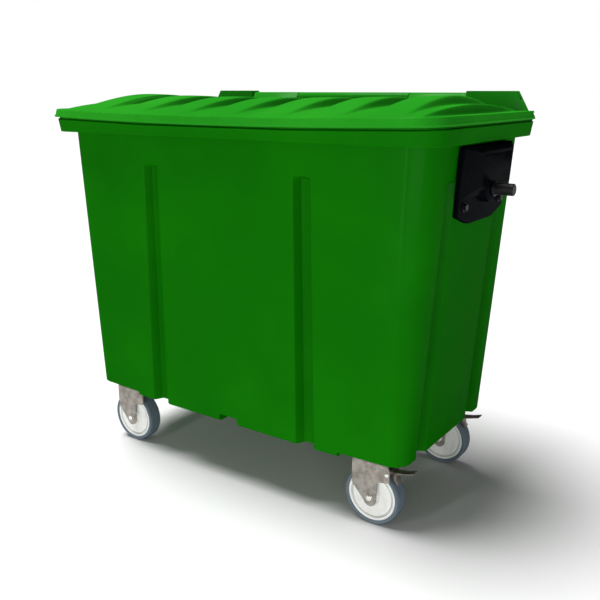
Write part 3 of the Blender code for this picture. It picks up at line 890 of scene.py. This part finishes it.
    def rod_bore(self) -> Piece:
        """Returns the cutter for the hinge rod's hole."""
        y, z = self.hinge
        return bore(self.rod_bore_radius, 0.7, 32, Axis.X, (0, y + self.centre_y, z))

    def ear(self, side: int) -> None:
        """Builds one ear, which holds an end of the hinge rod.

        Args:
            side: 1 for the right, -1 for the left.
        """
        inner, outer = self.ear_x
        low, top = self.rim_bottom, self.rim_top
        shape = sided([(inner, low + 0.004), (outer - 0.012, low + 0.004), (outer, top - 0.010),
                       (self.ear_top_x, self.ear_z), (inner, self.ear_z)], side)
        front, rear = self.hinge[0] - 0.021, self.hinge[0] + self.hinge_radius + 0.002
        ear = Piece(f"hinge_ear_{'right' if side > 0 else 'left'}")
        ear.drawn(rounded(shape, 0.004, 4), front, rear, Plane.XZ, (0, self.centre_y, 0))
        ear.combine(self.rod_bore())
        foot = sided([(inner, low + 0.006), (outer - 0.014, low + 0.006), (outer - 0.004, top - 0.008),
                      (inner, top - 0.002)], side)
        ear.combine(Piece("ear_foot").drawn(foot, self.rim_half[1] - 0.008, front + 0.004, Plane.XZ,
                                            (0, self.centre_y, 0)), Join.ADD)
        ear.soften(0.003, 3, 40)
        ear.fit(Look.PAINTED_LIGHT_GREEN, "tub", ["body_tub"])

    def build(self) -> None:
        """Builds every piece of the tub."""
        self.shell()
        self.rail()
        for side in (1, -1):
            self.ear(side)


# ------------------------------------------------------------------ lid


@dataclass
class Lid:
    """The domed lid with its transverse ribs, skirt and hinge barrels."""

    tub: Tub
    half_x: float = 0.6350
    front: float = -0.3349
    rear: float = 0.324
    wall: float = 0.004
    ledge: float = 1.052
    lip: float = 1.031
    sag: float = 0.011
    corner: float = 0.060
    dome_half_x: float = 0.578
    dome: Flat = (-0.304, 0.268)
    dome_rise: float = 0.023
    rib_rise: float = 0.022
    ribs: int = 7
    pitch: float = 0.162
    rib_half: Flat = (0.0405, 0.0520)
    flare: float = 0.009
    barrel_x: Flat = (0.2080, 0.3930)

    def arch(self, y: float) -> float:
        """Returns how far up the dome's curve a point is, 0 at its feet and 1 on top."""
        low, high = self.dome
        t = min(1.0, max(0.0, (y - low) / (high - low)))
        return math.sin(math.pi * t) ** 0.75 if 0 < t < 1 else 0.0

    def height(self, x: float, y: float) -> float:
        """Returns the height of the lid's top at a point."""
        end = smoothstep((self.dome_half_x + 0.007 - abs(x)) / 0.009)
        most = self.ribs // 2
        nearest = max(-most, min(most, round(x / self.pitch)))
        top, foot = self.rib_half
        lift = smoothstep((foot - abs(x - nearest * self.pitch)) / (foot - top))
        crown = 1.0 - 0.04 * (abs(x - nearest * self.pitch) / foot) ** 2
        rib = self.rib_rise * lift * crown * self.arch(y) ** 1.7
        return self.ledge - self.droop(x) + end * (self.dome_rise * self.arch(y) + rib)

    def droop(self, x: float) -> float:
        """Returns how far the lid hangs down at X, most in its middle."""
        return self.sag * (1 - (x / self.half_x) ** 2)

    def lean(self, x: float) -> float:
        """Returns how far the front skirt leans out at X, most at its ends."""
        return self.flare * (0.33 + 0.67 * (x / self.half_x) ** 2)

    def stations(self) -> list[float]:
        """Returns the grid lines along X, closer together on the flanks of the ribs."""
        shares = (0.0, 0.03, 0.1, 0.2, 0.35, 0.55, 0.8, 1.0)
        half = [self.half_x - self.flare - self.corner * share for share in shares]
        half += [self.dome_half_x + 0.007 - 0.009 * i / 6 for i in range(7)]
        top, foot = self.rib_half
        for i in range(self.ribs // 2 + 1):
            for side in (-1, 1):
                offsets = [top + (foot - top) * k / 7 for k in range(8)] + [0.012, 0.026]
                half += [i * self.pitch + side * off for off in offsets if i * self.pitch + side * off > 0]
        return sorted({round(x, 5) for x in half} | {round(-x, 5) for x in half} | {0.0})

    def edge_rows(self, x: float, inset: float) -> Flat:
        """Returns the front and rear Y of the top at one X, round the corners."""
        half = self.half_x - self.flare
        over = max(0.0, abs(x) - (half - self.corner))
        bend = self.corner - math.sqrt(max(0.0, self.corner ** 2 - over ** 2))
        return (self.front + self.lean(x) + bend + inset, self.rear - bend - inset)

    def rows(self, x: float, inset: float) -> list[float]:
        """Returns the Y values of one grid line."""
        front, rear = self.edge_rows(x, inset)
        low, high = self.dome
        dome = [low + (high - low) * i / 36 for i in range(37)]
        dome[1:1] = [low + 0.003, low + 0.008]
        rows = [front] + [min(max(y, front + 0.001), rear - 0.001) for y in dome] + [rear]
        for i in range(1, len(rows)):
            rows[i] = max(rows[i], rows[i - 1] + 0.0002)
        return rows

    def shell(self) -> None:
        """Builds the ribbed shell, its rounded skirt and its underside."""
        lid = Piece("lid_shell")
        verts, faces = lid.shape.verts, lid.shape.faces
        stations = self.stations()
        squeeze = (self.half_x - self.flare - self.wall) / (self.half_x - self.flare)
        top = [[verts.new((x, y, self.height(x, y))) for y in self.rows(x, 0.0)] for x in stations]
        under = [[verts.new((x * squeeze, y, self.height(x, y) - self.wall)) for y in self.rows(x, self.wall)]
                 for x in stations]
        columns, rows = len(top), len(top[0])
        for i in range(columns - 1):
            for j in range(rows - 1):
                faces.new((top[i][j], top[i + 1][j], top[i + 1][j + 1], top[i][j + 1]))
                faces.new((under[i][j], under[i][j + 1], under[i + 1][j + 1], under[i + 1][j]))
        border = [(i, 0) for i in range(columns)] + [(columns - 1, j) for j in range(1, rows)]
        border += [(i, rows - 1) for i in range(columns - 2, -1, -1)]
        border += [(0, j) for j in range(rows - 2, 0, -1)]
        edge, inner_edge = ([grid[i][j] for i, j in border] for grid in (top, under))
        loops = [edge] + self.skirt(lid, top, border) + [inner_edge]
        for upper, lower in zip(loops, loops[1:]):
            for k in range(len(border)):
                m = (k + 1) % len(border)
                faces.new((upper[k], lower[k], lower[m], upper[m]))
        lid.made().data.transform(Matrix.Translation((0, self.tub.centre_y, 0)))
        lid.fit(Look.PAINTED_LIGHT_GREEN, "lid", ["lid"], 38)

    def skirt(self, lid: Piece, top: list[list[bmesh.types.BMVert]],
              border: list[tuple[int, int]]) -> list[list]:
        """Adds the skirt's loops, from the top's edge round the lip to its inner side.

        Args:
            lid: the piece.
            top: the top's grid.
            border: the grid places round its edge.

        Returns:
            The loops of vertices.
        """
        places = [top[i][j].co for i, j in border]
        outward = []
        for k, place in enumerate(places):
            along = places[(k + 1) % len(places)] - places[k - 1]
            outward.append(Vector((along.y, -along.x, 0)).normalized())
        last = len(top[0]) - 1
        loops: list[list] = []
        steps = [(0.08, False, -0.0006), (0.18, False, -0.0022), (0.62, True, 0.0060), (0.70, True, 0.0046),
                 (1.0, True, 0.0038), (1.0, True, 0.0010), (0.92, True, 0.0), (0.62, True, 0.0),
                 (0.55, True, 0.0010)]
        for share, low, rise in steps:
            loop = []
            for k, (i, j) in enumerate(border):
                place = places[k]
                rear = j == last
                spread = 0.002 if rear else self.lean(place.x) if j == 0 else self.flare
                foot = (self.ledge - self.wall - 0.001 if rear else self.lip) - self.droop(place.x)
                z = foot + rise * (0.1 if rear else 1.0) if low else place.z + rise * (0.2 if rear else 1.0)
                out = place + outward[k] * spread * share
                loop.append(lid.shape.verts.new((out.x, out.y, z)))
            loops.append(loop)
        return loops

    def barrel(self, side: int) -> None:
        """Builds one hinge barrel with its web.

        Args:
            side: 1 for the right, -1 for the left.
        """
        y, z = self.tub.hinge
        r = self.tub.hinge_radius
        ledge = self.ledge - self.droop(sum(self.barrel_x) / 2)
        base = ledge - self.wall
        shape: list[Flat] = [(self.rear - 0.014, base + 0.0008), (self.rear + 0.010, base)]
        for i in range(25):
            angle = math.radians(-70 + 200 * i / 24)
            shape.append((y + r * math.cos(angle), z + r * math.sin(angle)))
        shape += [(self.rear + 0.006, ledge + 0.006), (self.rear - 0.014, ledge + 0.001)]
        low, high = sorted(side * x for x in self.barrel_x)
        barrel = Piece(f"lid_barrel_{'right' if side > 0 else 'left'}")
        barrel.drawn(shape, low, high, Plane.YZ, (0, self.tub.centre_y, 0))
        barrel.combine(self.tub.rod_bore())
        barrel.soften(0.0018, 3, 50)
        barrel.fit(Look.PAINTED_LIGHT_GREEN, "lid", ["lid"])

    def build(self) -> None:
        """Builds every piece of the lid."""
        self.shell()
        for side in (1, -1):
            self.barrel(side)


# ------------------------------------------------------------------ trunnions


@dataclass
class Trunnion:
    """One end's lifting bracket, with its pin and bolts."""

    tub: Tub
    side: int
    plate_depth: float = 0.014
    box_depth: float = 0.042
    pin_z: float = 0.873
    bolt_y: float = 0.112
    bolt_z: float = 0.838

    @property
    def label(self) -> str:
        """The end's name."""
        return "right" if self.side > 0 else "left"

    def against_wall(self, piece: Piece, steps: Sequence[tuple[float, Sequence[Flat]]]) -> Piece:
        """Skins outlines of (y, z) laid on the end wall.

        Args:
            piece: the piece.
            steps: pairs of a distance from the wall and an outline.

        Returns:
            The piece.
        """
        rings = [[(self.tub.end_wall(z) + off, y, z) for y, z in shape] for off, shape in steps]
        return piece.skin(rings)

    def place(self, piece: Piece) -> Piece:
        """Turns a piece made for the right-hand end to its own end."""
        turn = Matrix.Rotation(0.0 if self.side > 0 else math.pi, 4, "Z")
        piece.made().data.transform(Matrix.Translation((0, self.tub.centre_y, 0)) @ turn)
        return piece

    def bracket(self) -> None:
        """Builds the bracket: lower plate, raised box with sloping sides, and the pin's boss."""
        shape = rounded([(-0.140, 0.816), (-0.072, 0.793), (0.072, 0.793), (0.140, 0.816), (0.146, 0.968),
                         (-0.146, 0.968)], 0.006, 3)
        plate = Piece(f"bracket_{self.label}")
        self.against_wall(plate, [(0.0003, shape), (self.plate_depth, shape)])
        foot = rounded([(-0.150, 0.858), (0.150, 0.858), (0.150, 0.980), (-0.150, 0.980)], 0.005, 3)
        face = rounded([(-0.098, 0.884), (0.098, 0.884), (0.098, 0.968), (-0.098, 0.968)], 0.005, 3)
        box = self.against_wall(Piece("bracket_box"), [(0.0035, foot), (0.018, foot), (self.box_depth, face)])
        plate.combine(box, Join.ADD)
        wall = self.tub.end_wall(self.pin_z)
        boss = Piece("pin_boss").turned([(0.034, 0.006), (0.034, 0.034), (0.026, 0.040)], 48, Axis.X,
                                        (wall, 0, self.pin_z))
        plate.combine(boss, Join.ADD)
        socket = [(0.0153, 0.008), (0.0153, 0.2)]
        plate.combine(Piece("pin_bore").turned(socket, 48, Axis.X, (wall, 0, self.pin_z)))
        plate.soften(0.0016, 3, 25)
        self.place(plate).fit(Look.BLACK, "tub", [f"trunnion_bracket_{self.label}"])
        inner = rounded([(-0.088, 0.892), (0.088, 0.892), (0.088, 0.960), (-0.088, 0.960)], 0.004, 3)
        drawn_in = [(y * 0.985, z + (0.0010 if z < 0.926 else -0.0010)) for y, z in inner]
        grip = self.against_wall(Piece(f"bracket_grip_{self.label}"), [
            (self.box_depth - 0.004, inner), (self.box_depth + 0.0002, inner),
            (self.box_depth + 0.0009, drawn_in)])
        self.place(grip).fit(Look.KNURLED, "tub", [f"trunnion_bracket_{self.label}"])

    def pin(self) -> None:
        """Builds the lifting pin, with a collar at its root and a worn, chamfered tip."""
        wall = self.tub.end_wall(self.pin_z)
        _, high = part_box("trunnion_pin_right")
        tip = high.x
        root = [(0.0150, 0.0090), (0.0150, 0.0405), (0.0185, 0.0412), (0.0190, 0.0425), (0.0185, 0.0450),
                (0.0153, 0.0462), (0.0150, 0.0480)]
        end = [(0.0150, 0.0110), (0.0146, 0.0104), (0.0146, 0.0094), (0.0150, 0.0088), (0.0150, 0.0030),
               (0.0143, 0.0010), (0.0128, 0.0)]
        profile = [(r, wall + x) for r, x in root] + [(r, tip - x) for r, x in end]
        pin = Piece(f"lifting_pin_{self.label}").turned(profile, 56, Axis.X, (0, 0, self.pin_z))
        self.place(pin).fit(Look.BLACK_STEEL, "tub", [f"trunnion_pin_{self.label}"])

    def bolt(self, y: float, end: str) -> None:
        """Builds one bracket bolt: domed washer, hexagon head and shank.

        Args:
            y: its place across the bracket.
            end: its letter.
        """
        face = self.tub.end_wall(self.bolt_z) + self.plate_depth
        at = (face, y, self.bolt_z)
        bolt = Piece(f"bracket_bolt_{self.label}_{end}")
        bolt.turned([(0.0045, -0.032), (0.005, -0.031), (0.005, 0.001), (0.0118, 0.0010), (0.0120, 0.0016),
                     (0.0112, 0.0024), (0.0094, 0.0025), (0.0094, 0.0028)], 36, Axis.X, at)
        bolt.turned([(0.0095, 0.0020), (0.0098, 0.0028), (0.0098, 0.0078), (0.0084, 0.0092)], 6, Axis.X, at)
        self.place(bolt).fit(Look.BLACK_STEEL, "tub", [f"bracket_bolt_{self.label}_{end}"])

    def build(self) -> None:
        """Builds every piece of one end."""
        self.bracket()
        self.pin()
        for y, end in ((-self.bolt_y, "a"), (self.bolt_y, "b")):
            self.bolt(y, end)


# ------------------------------------------------------------------ castors


class Corner(Enum):
    """The four castors, with their names in the frame."""

    FRONT_RIGHT = "front_right"
    FRONT_LEFT = "front_left"
    REAR_RIGHT = "rear_right"
    REAR_LEFT = "rear_left"


@dataclass
class Castor:
    """One swivel castor."""

    corner: Corner
    radius: float = 0.080
    trail: float = 0.020
    cheek_in: float = 0.0258
    cheek_out: float = 0.0295
    crown_top: float = 0.1820
    crown_bottom: float = 0.1780
    cheek_half: float = 0.055
    cheek_drop: float = 0.130
    pad_z: float = 0.200
    plate_half: Flat = (0.055, 0.045)
    plate_drop: float = 0.0043
    kingpin_bore: float = 0.0063
    axle_bore: float = 0.0053
    pivot_bore: float = 0.0033

    @cached_property
    def axle(self) -> Vector:
        """The wheel's middle."""
        return middle(f"tyre_{self.corner.value}")

    @property
    def swivel(self) -> Point:
        """A point on the swivel axis, at floor level."""
        return (self.axle.x - self.trail, self.axle.y, 0.0)

    def top_plate(self) -> None:
        """Builds the top plate, the ball race pressed out of it, and its four bolts."""
        label, (x, y, _) = self.corner.value, self.swivel
        a, b = self.plate_half
        shape = rounded([(-a, -b), (a, -b), (a, b), (-a, b)], 0.012, 6)
        under = self.pad_z - self.plate_drop
        plate = Piece(f"top_plate_{label}").drawn(shape, under, self.pad_z - 0.0003, Plane.XY, (x, y, 0))
        race = [(0.0290, 0.0003), (0.0318, 0.0006), (0.0330, 0.0024), (0.0330, 0.0060), (0.0318, 0.0078),
                (0.0318, 0.0090), (0.0345, 0.0104), (0.0370, 0.0130), (0.0370, 0.0145)]
        plate.combine(Piece("race").turned(race, 64, at=(x, y, self.crown_top)), Join.ADD)
        plate.combine(bore(self.kingpin_bore, 0.05, 32, Axis.Z, (x, y, self.pad_z)))
        plate.soften(0.0006, 2, 40)
        plate.fit(Look.RUSTY_ZINC, "tub", [f"castor_plate_{label}"])
        for i, (sx, sy) in enumerate(((-1, -1), (1, -1), (1, 1), (-1, 1))):
            at = (x + sx * (a - 0.011), y + sy * (b - 0.010), under)
            bolt = Piece(f"plate_bolt_{label}_{i + 1}")
            bolt.turned([(0.0076, -0.0015), (0.0078, -0.0012), (0.0078, 0.0)], 28, at=at)
            bolt.turned([(0.0046, -0.0064), (0.0058, -0.0058), (0.0058, -0.0010)], 6, at=at)
            bolt.fit(Look.BRIGHT_ZINC, "tub", [f"castor_plate_{label}"])

    def kingpin(self) -> None:
        """Builds the kingpin with its hexagon nut under the crown."""
        x, y, _ = self.swivel
        low = self.crown_bottom
        pin = Piece(f"kingpin_{self.corner.value}")
        pin.turned([(0.0095, -0.0115), (0.0110, -0.0104), (0.0110, -0.0016)], 6, at=(x, y, low))
        top = self.pad_z - low
        pin.turned([(0.0045, -0.0115), (0.0104, -0.0018), (0.0110, -0.0014), (0.0110, -0.0003),
                    (0.0060, -0.0003), (0.0060, top - 0.002), (0.005, top - 0.001)], 40, at=(x, y, low))
        pin.fit(Look.BRIGHT_ZINC, "tub", [f"kingpin_{self.corner.value}"])

    def cheek_outline(self) -> list[Flat]:
        """Returns a fork cheek's side view, about the axle."""
        half, top = self.cheek_half, self.crown_top
        points: list[Flat] = [(-half, 0.110), (-0.021, 0.070)]
        for i in range(13):
            angle = math.radians(200 + 145 * i / 12)
            points.append((0.019 * math.cos(angle) - 0.001, self.radius - 0.004 + 0.022 * math.sin(angle)))
        drop = self.cheek_drop
        points += [(0.019, drop - 0.004), (0.0225, drop), (half, drop + 0.006), (half, top - 0.012),
                   (half - 0.010, top + 0.004), (-half, top + 0.004)]
        return points

    def fork(self) -> None:
        """Builds the fork from a bent sheet: crown and two cheeks with rounded bends."""
        label = self.corner.value
        out, inn, top, low = self.cheek_out, self.cheek_in, self.crown_top, self.crown_bottom
        section = rounded([(-out, 0.02), (-inn, 0.02), (-inn, low), (inn, low), (inn, 0.02), (out, 0.02),
                           (out, top), (-out, top)],
                          [0.0001, 0.0001, 0.0030, 0.0030, 0.0001, 0.0001, 0.0068, 0.0068], 6)
        over_axle = (self.axle.x, self.axle.y, 0)
        fork = Piece(f"fork_{label}").drawn(section, -0.1, 0.1, Plane.YZ, over_axle)
        cheeks = Piece("cheeks").drawn(self.cheek_outline(), -0.1, 0.1, Plane.XZ, over_axle)
        fork.combine(cheeks, Join.KEEP)
        fork.combine(bore(self.axle_bore, 0.06, 32, Axis.Y, tuple(self.axle)))
        x, y, _ = self.swivel
        fork.combine(bore(self.kingpin_bore, 0.05, 32, Axis.Z, (x, y, self.pad_z)))
        if self.braked:
            fork.combine(bore(self.pivot_bore, 0.06, 24, Axis.Y, tuple(middle(f"brake_pin_{label}"))))
        fork.soften(0.0007, 2, 40)
        fork.fit(Look.DULL_ZINC, f"swivel_{label}", [f"castor_fork_{label}"])

    @property
    def braked(self) -> bool:
        """Whether this castor has a brake."""
        return f"brake_pedal_{self.corner.value}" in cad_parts

    def axle_parts(self) -> None:
        """Builds the axle bolt and its nut."""
        label, at = self.corner.value, tuple(self.axle)
        out = self.cheek_out + 0.0003
        bolt = Piece(f"axle_bolt_{label}")
        head = [(0.0070, -out - 0.0075), (0.0085, -out - 0.0066), (0.0085, -out - 0.0012)]
        bolt.turned(head, 6, Axis.Y, at)
        bolt.turned([(0.0080, -out - 0.0014), (0.0085, -out - 0.0011), (0.0085, -out), (0.0050, -out),
                     (0.0050, out + 0.0105), (0.0040, out + 0.0115)], 40, Axis.Y, at)
        bolt.fit(Look.BRIGHT_ZINC, f"swivel_{label}", [f"axle_bolt_{label}"])
        nut = Piece(f"axle_nut_{label}")
        for facets, profile in (
                (6, [(0.0053, 0.0016), (0.0085, 0.0016), (0.0085, 0.0056), (0.0076, 0.0064),
                     (0.0053, 0.0064)]),
                (40, [(0.0053, 0.0), (0.0085, 0.0), (0.0085, 0.0016), (0.0053, 0.0016)]),
                (40, [(0.0053, 0.0060), (0.0073, 0.0060), (0.0070, 0.0076), (0.0053, 0.0078)])):
            nut.turned([(r, out + y) for r, y in profile], facets, Axis.Y, at, True)
        nut.fit(Look.BRIGHT_ZINC, f"swivel_{label}", [f"axle_nut_{label}"])

    def hub(self) -> None:
        """Builds the wheel's centre: boss, dished web, a deep ring groove and the rim ring."""
        label = self.corner.value
        half = [(0.0083, 0.0222), (0.0150, 0.0222), (0.0164, 0.0214), (0.0172, 0.0180), (0.0188, 0.0160),
                (0.0300, 0.0163), (0.0500, 0.0176), (0.0556, 0.0184), (0.0572, 0.0178), (0.0578, 0.0160),
                (0.0582, 0.0095), (0.0598, 0.0080), (0.0616, 0.0088), (0.0624, 0.0178), (0.0632, 0.0194),
                (0.0650, 0.0201), (0.0672, 0.0201), (0.0688, 0.0194), (0.0690, 0.0180)]
        profile = [(r, -y) for r, y in half] + [(r, y) for r, y in reversed(half)]
        hub = Piece(f"hub_{label}").turned(profile, 72, Axis.Y, tuple(self.axle), True)
        hub.fit(Look.HUB, f"wheel_{label}", [f"wheel_hub_{label}"])
        sleeve = self.cheek_in - 0.0003
        half = [(0.0053, sleeve), (0.0077, sleeve), (0.0080, sleeve - 0.0004)]
        profile = [(r, -y) for r, y in half] + [(r, y) for r, y in reversed(half)]
        bush = Piece(f"bush_{label}").turned(profile, 40, Axis.Y, tuple(self.axle), True)
        bush.fit(Look.NYLON, f"wheel_{label}", [f"axle_bush_{label}"])

    def tyre(self) -> None:
        """Builds the tyre, with three grooves round its tread."""
        label, r = self.corner.value, self.radius
        half = [(0.0692, 0.0196), (0.0712, 0.0216), (0.0732, 0.0226), (0.0756, 0.0229), (0.0776, 0.0214),
                (0.0789, 0.0190), (r - 0.0004, 0.0160)]
        tread: list[Flat] = []
        for centre in (0.0122, 0.0061, 0.0):
            tread += [(r - drop, centre + out) for drop, out in (
                (0.0001, 0.0013), (0.0014, 0.0008), (0.0014, -0.0008), (0.0001, -0.0013))]
        upper = half + [point for point in tread if point[1] > 0]
        profile = [(q, -y) for q, y in upper] + [(q, y) for q, y in reversed(upper)]
        tyre = Piece(f"tread_{label}").turned(profile, 84, Axis.Y, tuple(self.axle), True)
        tyre.fit(Look.RUBBER, f"wheel_{label}", [f"tyre_{label}"])

    def brake(self) -> None:
        """Builds the foot brake: pedal with a shoe arm, and its pivot pin."""
        label = self.corner.value
        pin_at = middle(f"brake_pin_{label}")
        eye = 0.0068
        shape: list[Flat] = [(-eye * math.cos(math.radians(a)), eye * math.sin(math.radians(a)))
                             for a in range(90, -91, -20)]
        shape += [(0.0045, -0.0095), (0.0120, -0.0215), (0.0215, -0.0305), (0.0250, -0.0280),
                  (0.0190, -0.0190), (0.0172, -0.0060), (0.0180, -0.0008), (0.0400, 0.0052),
                  (0.0640, 0.0118), (0.0665, 0.0134), (0.0655, 0.0155), (0.0630, 0.0150),
                  (0.0400, 0.0084), (0.0140, 0.0035), (0.0040, 0.0066)]
        pedal = Piece(f"pedal_{label}").drawn(shape, -0.012, 0.012, Plane.XZ, tuple(pin_at))
        pedal.combine(bore(self.pivot_bore, 0.06, 24, Axis.Y, tuple(pin_at)))
        pedal.soften(0.0010, 2, 40)
        pedal.fit(Look.WORN_STEEL, f"brake_{label}", [f"brake_pedal_{label}"])
        reach = self.cheek_out + 0.0003
        pin = Piece(f"pivot_pin_{label}").turned(
            [(0.0040, -reach - 0.0025), (0.0052, -reach - 0.0016), (0.0055, -reach), (0.0030, -reach),
             (0.0030, reach), (0.0044, reach + 0.0002), (0.0044, reach + 0.0012), (0.0030, reach + 0.0013),
             (0.0030, reach + 0.0025), (0.0025, reach + 0.0030)], 32, Axis.Y, tuple(pin_at))
        pin.fit(Look.BRIGHT_ZINC, f"swivel_{label}", [f"brake_pin_{label}"])

    def build(self) -> None:
        """Builds every piece of the castor."""
        self.top_plate()
        self.kingpin()
        self.fork()
        self.axle_parts()
        self.hub()
        self.tyre()
        if self.braked:
            self.brake()


# ------------------------------------------------------------------ small parts


@dataclass
class SmallParts:
    """The drain plug and the hinge rod."""

    flange: float = 0.0330
    shank: float = 0.0255
    ridges: int = 3
    pitch: float = 0.0030

    def drain_plug(self) -> None:
        """Builds the drain plug: a flange, and a shank with ridges round it."""
        low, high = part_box("drain_plug")
        at = middle("drain_plug")
        outer, inner = self.flange, self.shank
        profile = [(outer - 0.0035, 0.0), (outer - 0.0008, 0.0008), (outer, 0.0022), (outer, 0.0044),
                   (outer - 0.0008, 0.0050), (inner, 0.0050)]
        for i in range(self.ridges):
            rise = 0.0062 + self.pitch * i
            profile += [(inner, rise), (inner - 0.0009, rise + 0.0010), (inner - 0.0009, rise + 0.0016),
                        (inner, rise + 0.0026)]
        profile.append((inner - 0.0015, high.z - low.z))
        plug = Piece("drain_plug_body").turned(profile, 48, at=(at.x, at.y, low.z))
        plug.fit(Look.BLACK, "tub", ["drain_plug"])

    def hinge_rod(self) -> None:
        """Dresses the hinge rod."""
        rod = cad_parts["hinge_rod"]
        rod.data.materials.clear()
        rod.data.materials.append(Look.DULL_ZINC.value.material())
        LOG.info("hinge_rod: kept, in dull zinc")

    def build(self) -> None:
        """Builds both."""
        self.drain_plug()
        self.hinge_rod()


# ------------------------------------------------------------------ studio


@dataclass(frozen=True)
class SoftBox:
    """One soft box: where it hangs, the point it faces, its width and height, and its watts."""

    name: str
    at: Point
    aim: Point
    size: Flat
    power: float


@dataclass
class Studio:
    """Floor, soft lights, plain surround and camera."""

    eye: Point = (1.320, -1.8445, 1.108)
    heading: float = 34.9
    tilt: float = 15.4
    lens: float = 45.96
    surround: float = 0.13
    backdrop: float = 1.0
    sky_toward: Point = (-0.30, -0.06, 1.0)
    sky_power: float = 5.2
    sky_spread: float = 34
    boxes: tuple[SoftBox, ...] = (
        SoftBox("low_fill", (1.7, -2.6, 0.55), (0.0, 0.0, 0.10), (2.4, 0.7), 24),
        SoftBox("strip", (-0.25, -3.1, 1.0), (0.5, -0.3, 0.7), (0.06, 2.0), 20))

    def floor(self) -> None:
        """Lays the pale floor."""
        floor = Piece("studio_floor").block((-30, -30, -0.02), (30, 30, 0.0)).made()
        floor.data.materials.append(Look.FLOOR.value.material())

    def hang(self, light: bpy.types.Light, at: Point, turn: Quaternion) -> None:
        """Hangs a light.

        Args:
            light: the light.
            at: where it hangs.
            turn: its rotation.
        """
        lamp = bpy.data.objects.new(light.name, light)
        lamp.location = at
        lamp.rotation_euler = turn.to_euler()
        bpy.context.scene.collection.objects.link(lamp)

    def soft_light(self, box: SoftBox) -> None:
        """Adds one soft box."""
        light = bpy.data.lights.new(box.name, "AREA")
        light.shape = "RECTANGLE"
        light.size, light.size_y = box.size
        light.energy = box.power
        self.hang(light, box.at, (Vector(box.aim) - Vector(box.at)).to_track_quat("-Z", "Y"))

    def sky_light(self) -> None:
        """Adds one wide, even light from high up."""
        light = bpy.data.lights.new("high_light", "SUN")
        light.energy = self.sky_power
        light.angle = math.radians(self.sky_spread)
        self.hang(light, (0.0, 0.0, 0.0), Vector(self.sky_toward).to_track_quat("Z", "Y"))

    def surround_light(self) -> None:
        """Sets an even white surround, brighter to look at than the light it gives."""
        world = bpy.data.worlds.new("plain_surround")
        world.use_nodes = True
        tree = Nodes(world.node_tree)
        tree.nodes.remove(tree.nodes["Background"])
        white = rgb(1.0, 1.0, 1.0)
        lit, seen = (tree.add("ShaderNodeBackground", None, {"Color": white, "Strength": strength})
                     for strength in (self.surround, self.backdrop))
        camera_ray = tree.add("ShaderNodeLightPath", output="Is Camera Ray")
        mixed = tree.add("ShaderNodeMixShader", None, {0: camera_ray, 1: lit, 2: seen})
        tree.feed(tree.nodes["World Output"], 0, mixed)
        bpy.context.scene.world = world

    def camera(self) -> None:
        """Sets up the camera."""
        data = bpy.data.cameras.new("camera")
        data.sensor_width = 36.0
        data.lens = self.lens
        camera = bpy.data.objects.new("camera", data)
        camera.location = self.eye
        camera.rotation_euler = (math.radians(90 - self.tilt), 0.0, math.radians(self.heading))
        bpy.context.scene.collection.objects.link(camera)
        bpy.context.scene.camera = camera

    def build(self) -> None:
        """Sets up the whole studio."""
        self.floor()
        self.surround_light()
        self.sky_light()
        for box in self.boxes:
            self.soft_light(box)
        self.camera()
        bpy.context.scene.view_settings.view_transform = "Standard"


def main() -> None:
    """Builds the whole container in order."""
    logging.basicConfig(level=logging.INFO, format="%(name)s: %(message)s")
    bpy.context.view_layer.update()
    tub = Tub()
    assemblies = [tub, Lid(tub), Trunnion(tub, 1), Trunnion(tub, -1)]
    assemblies += [Castor(corner) for corner in Corner] + [SmallParts()]
    for assembly in assemblies:
        assembly.build()
    Studio().build()


if __name__ == "__main__":
    main()
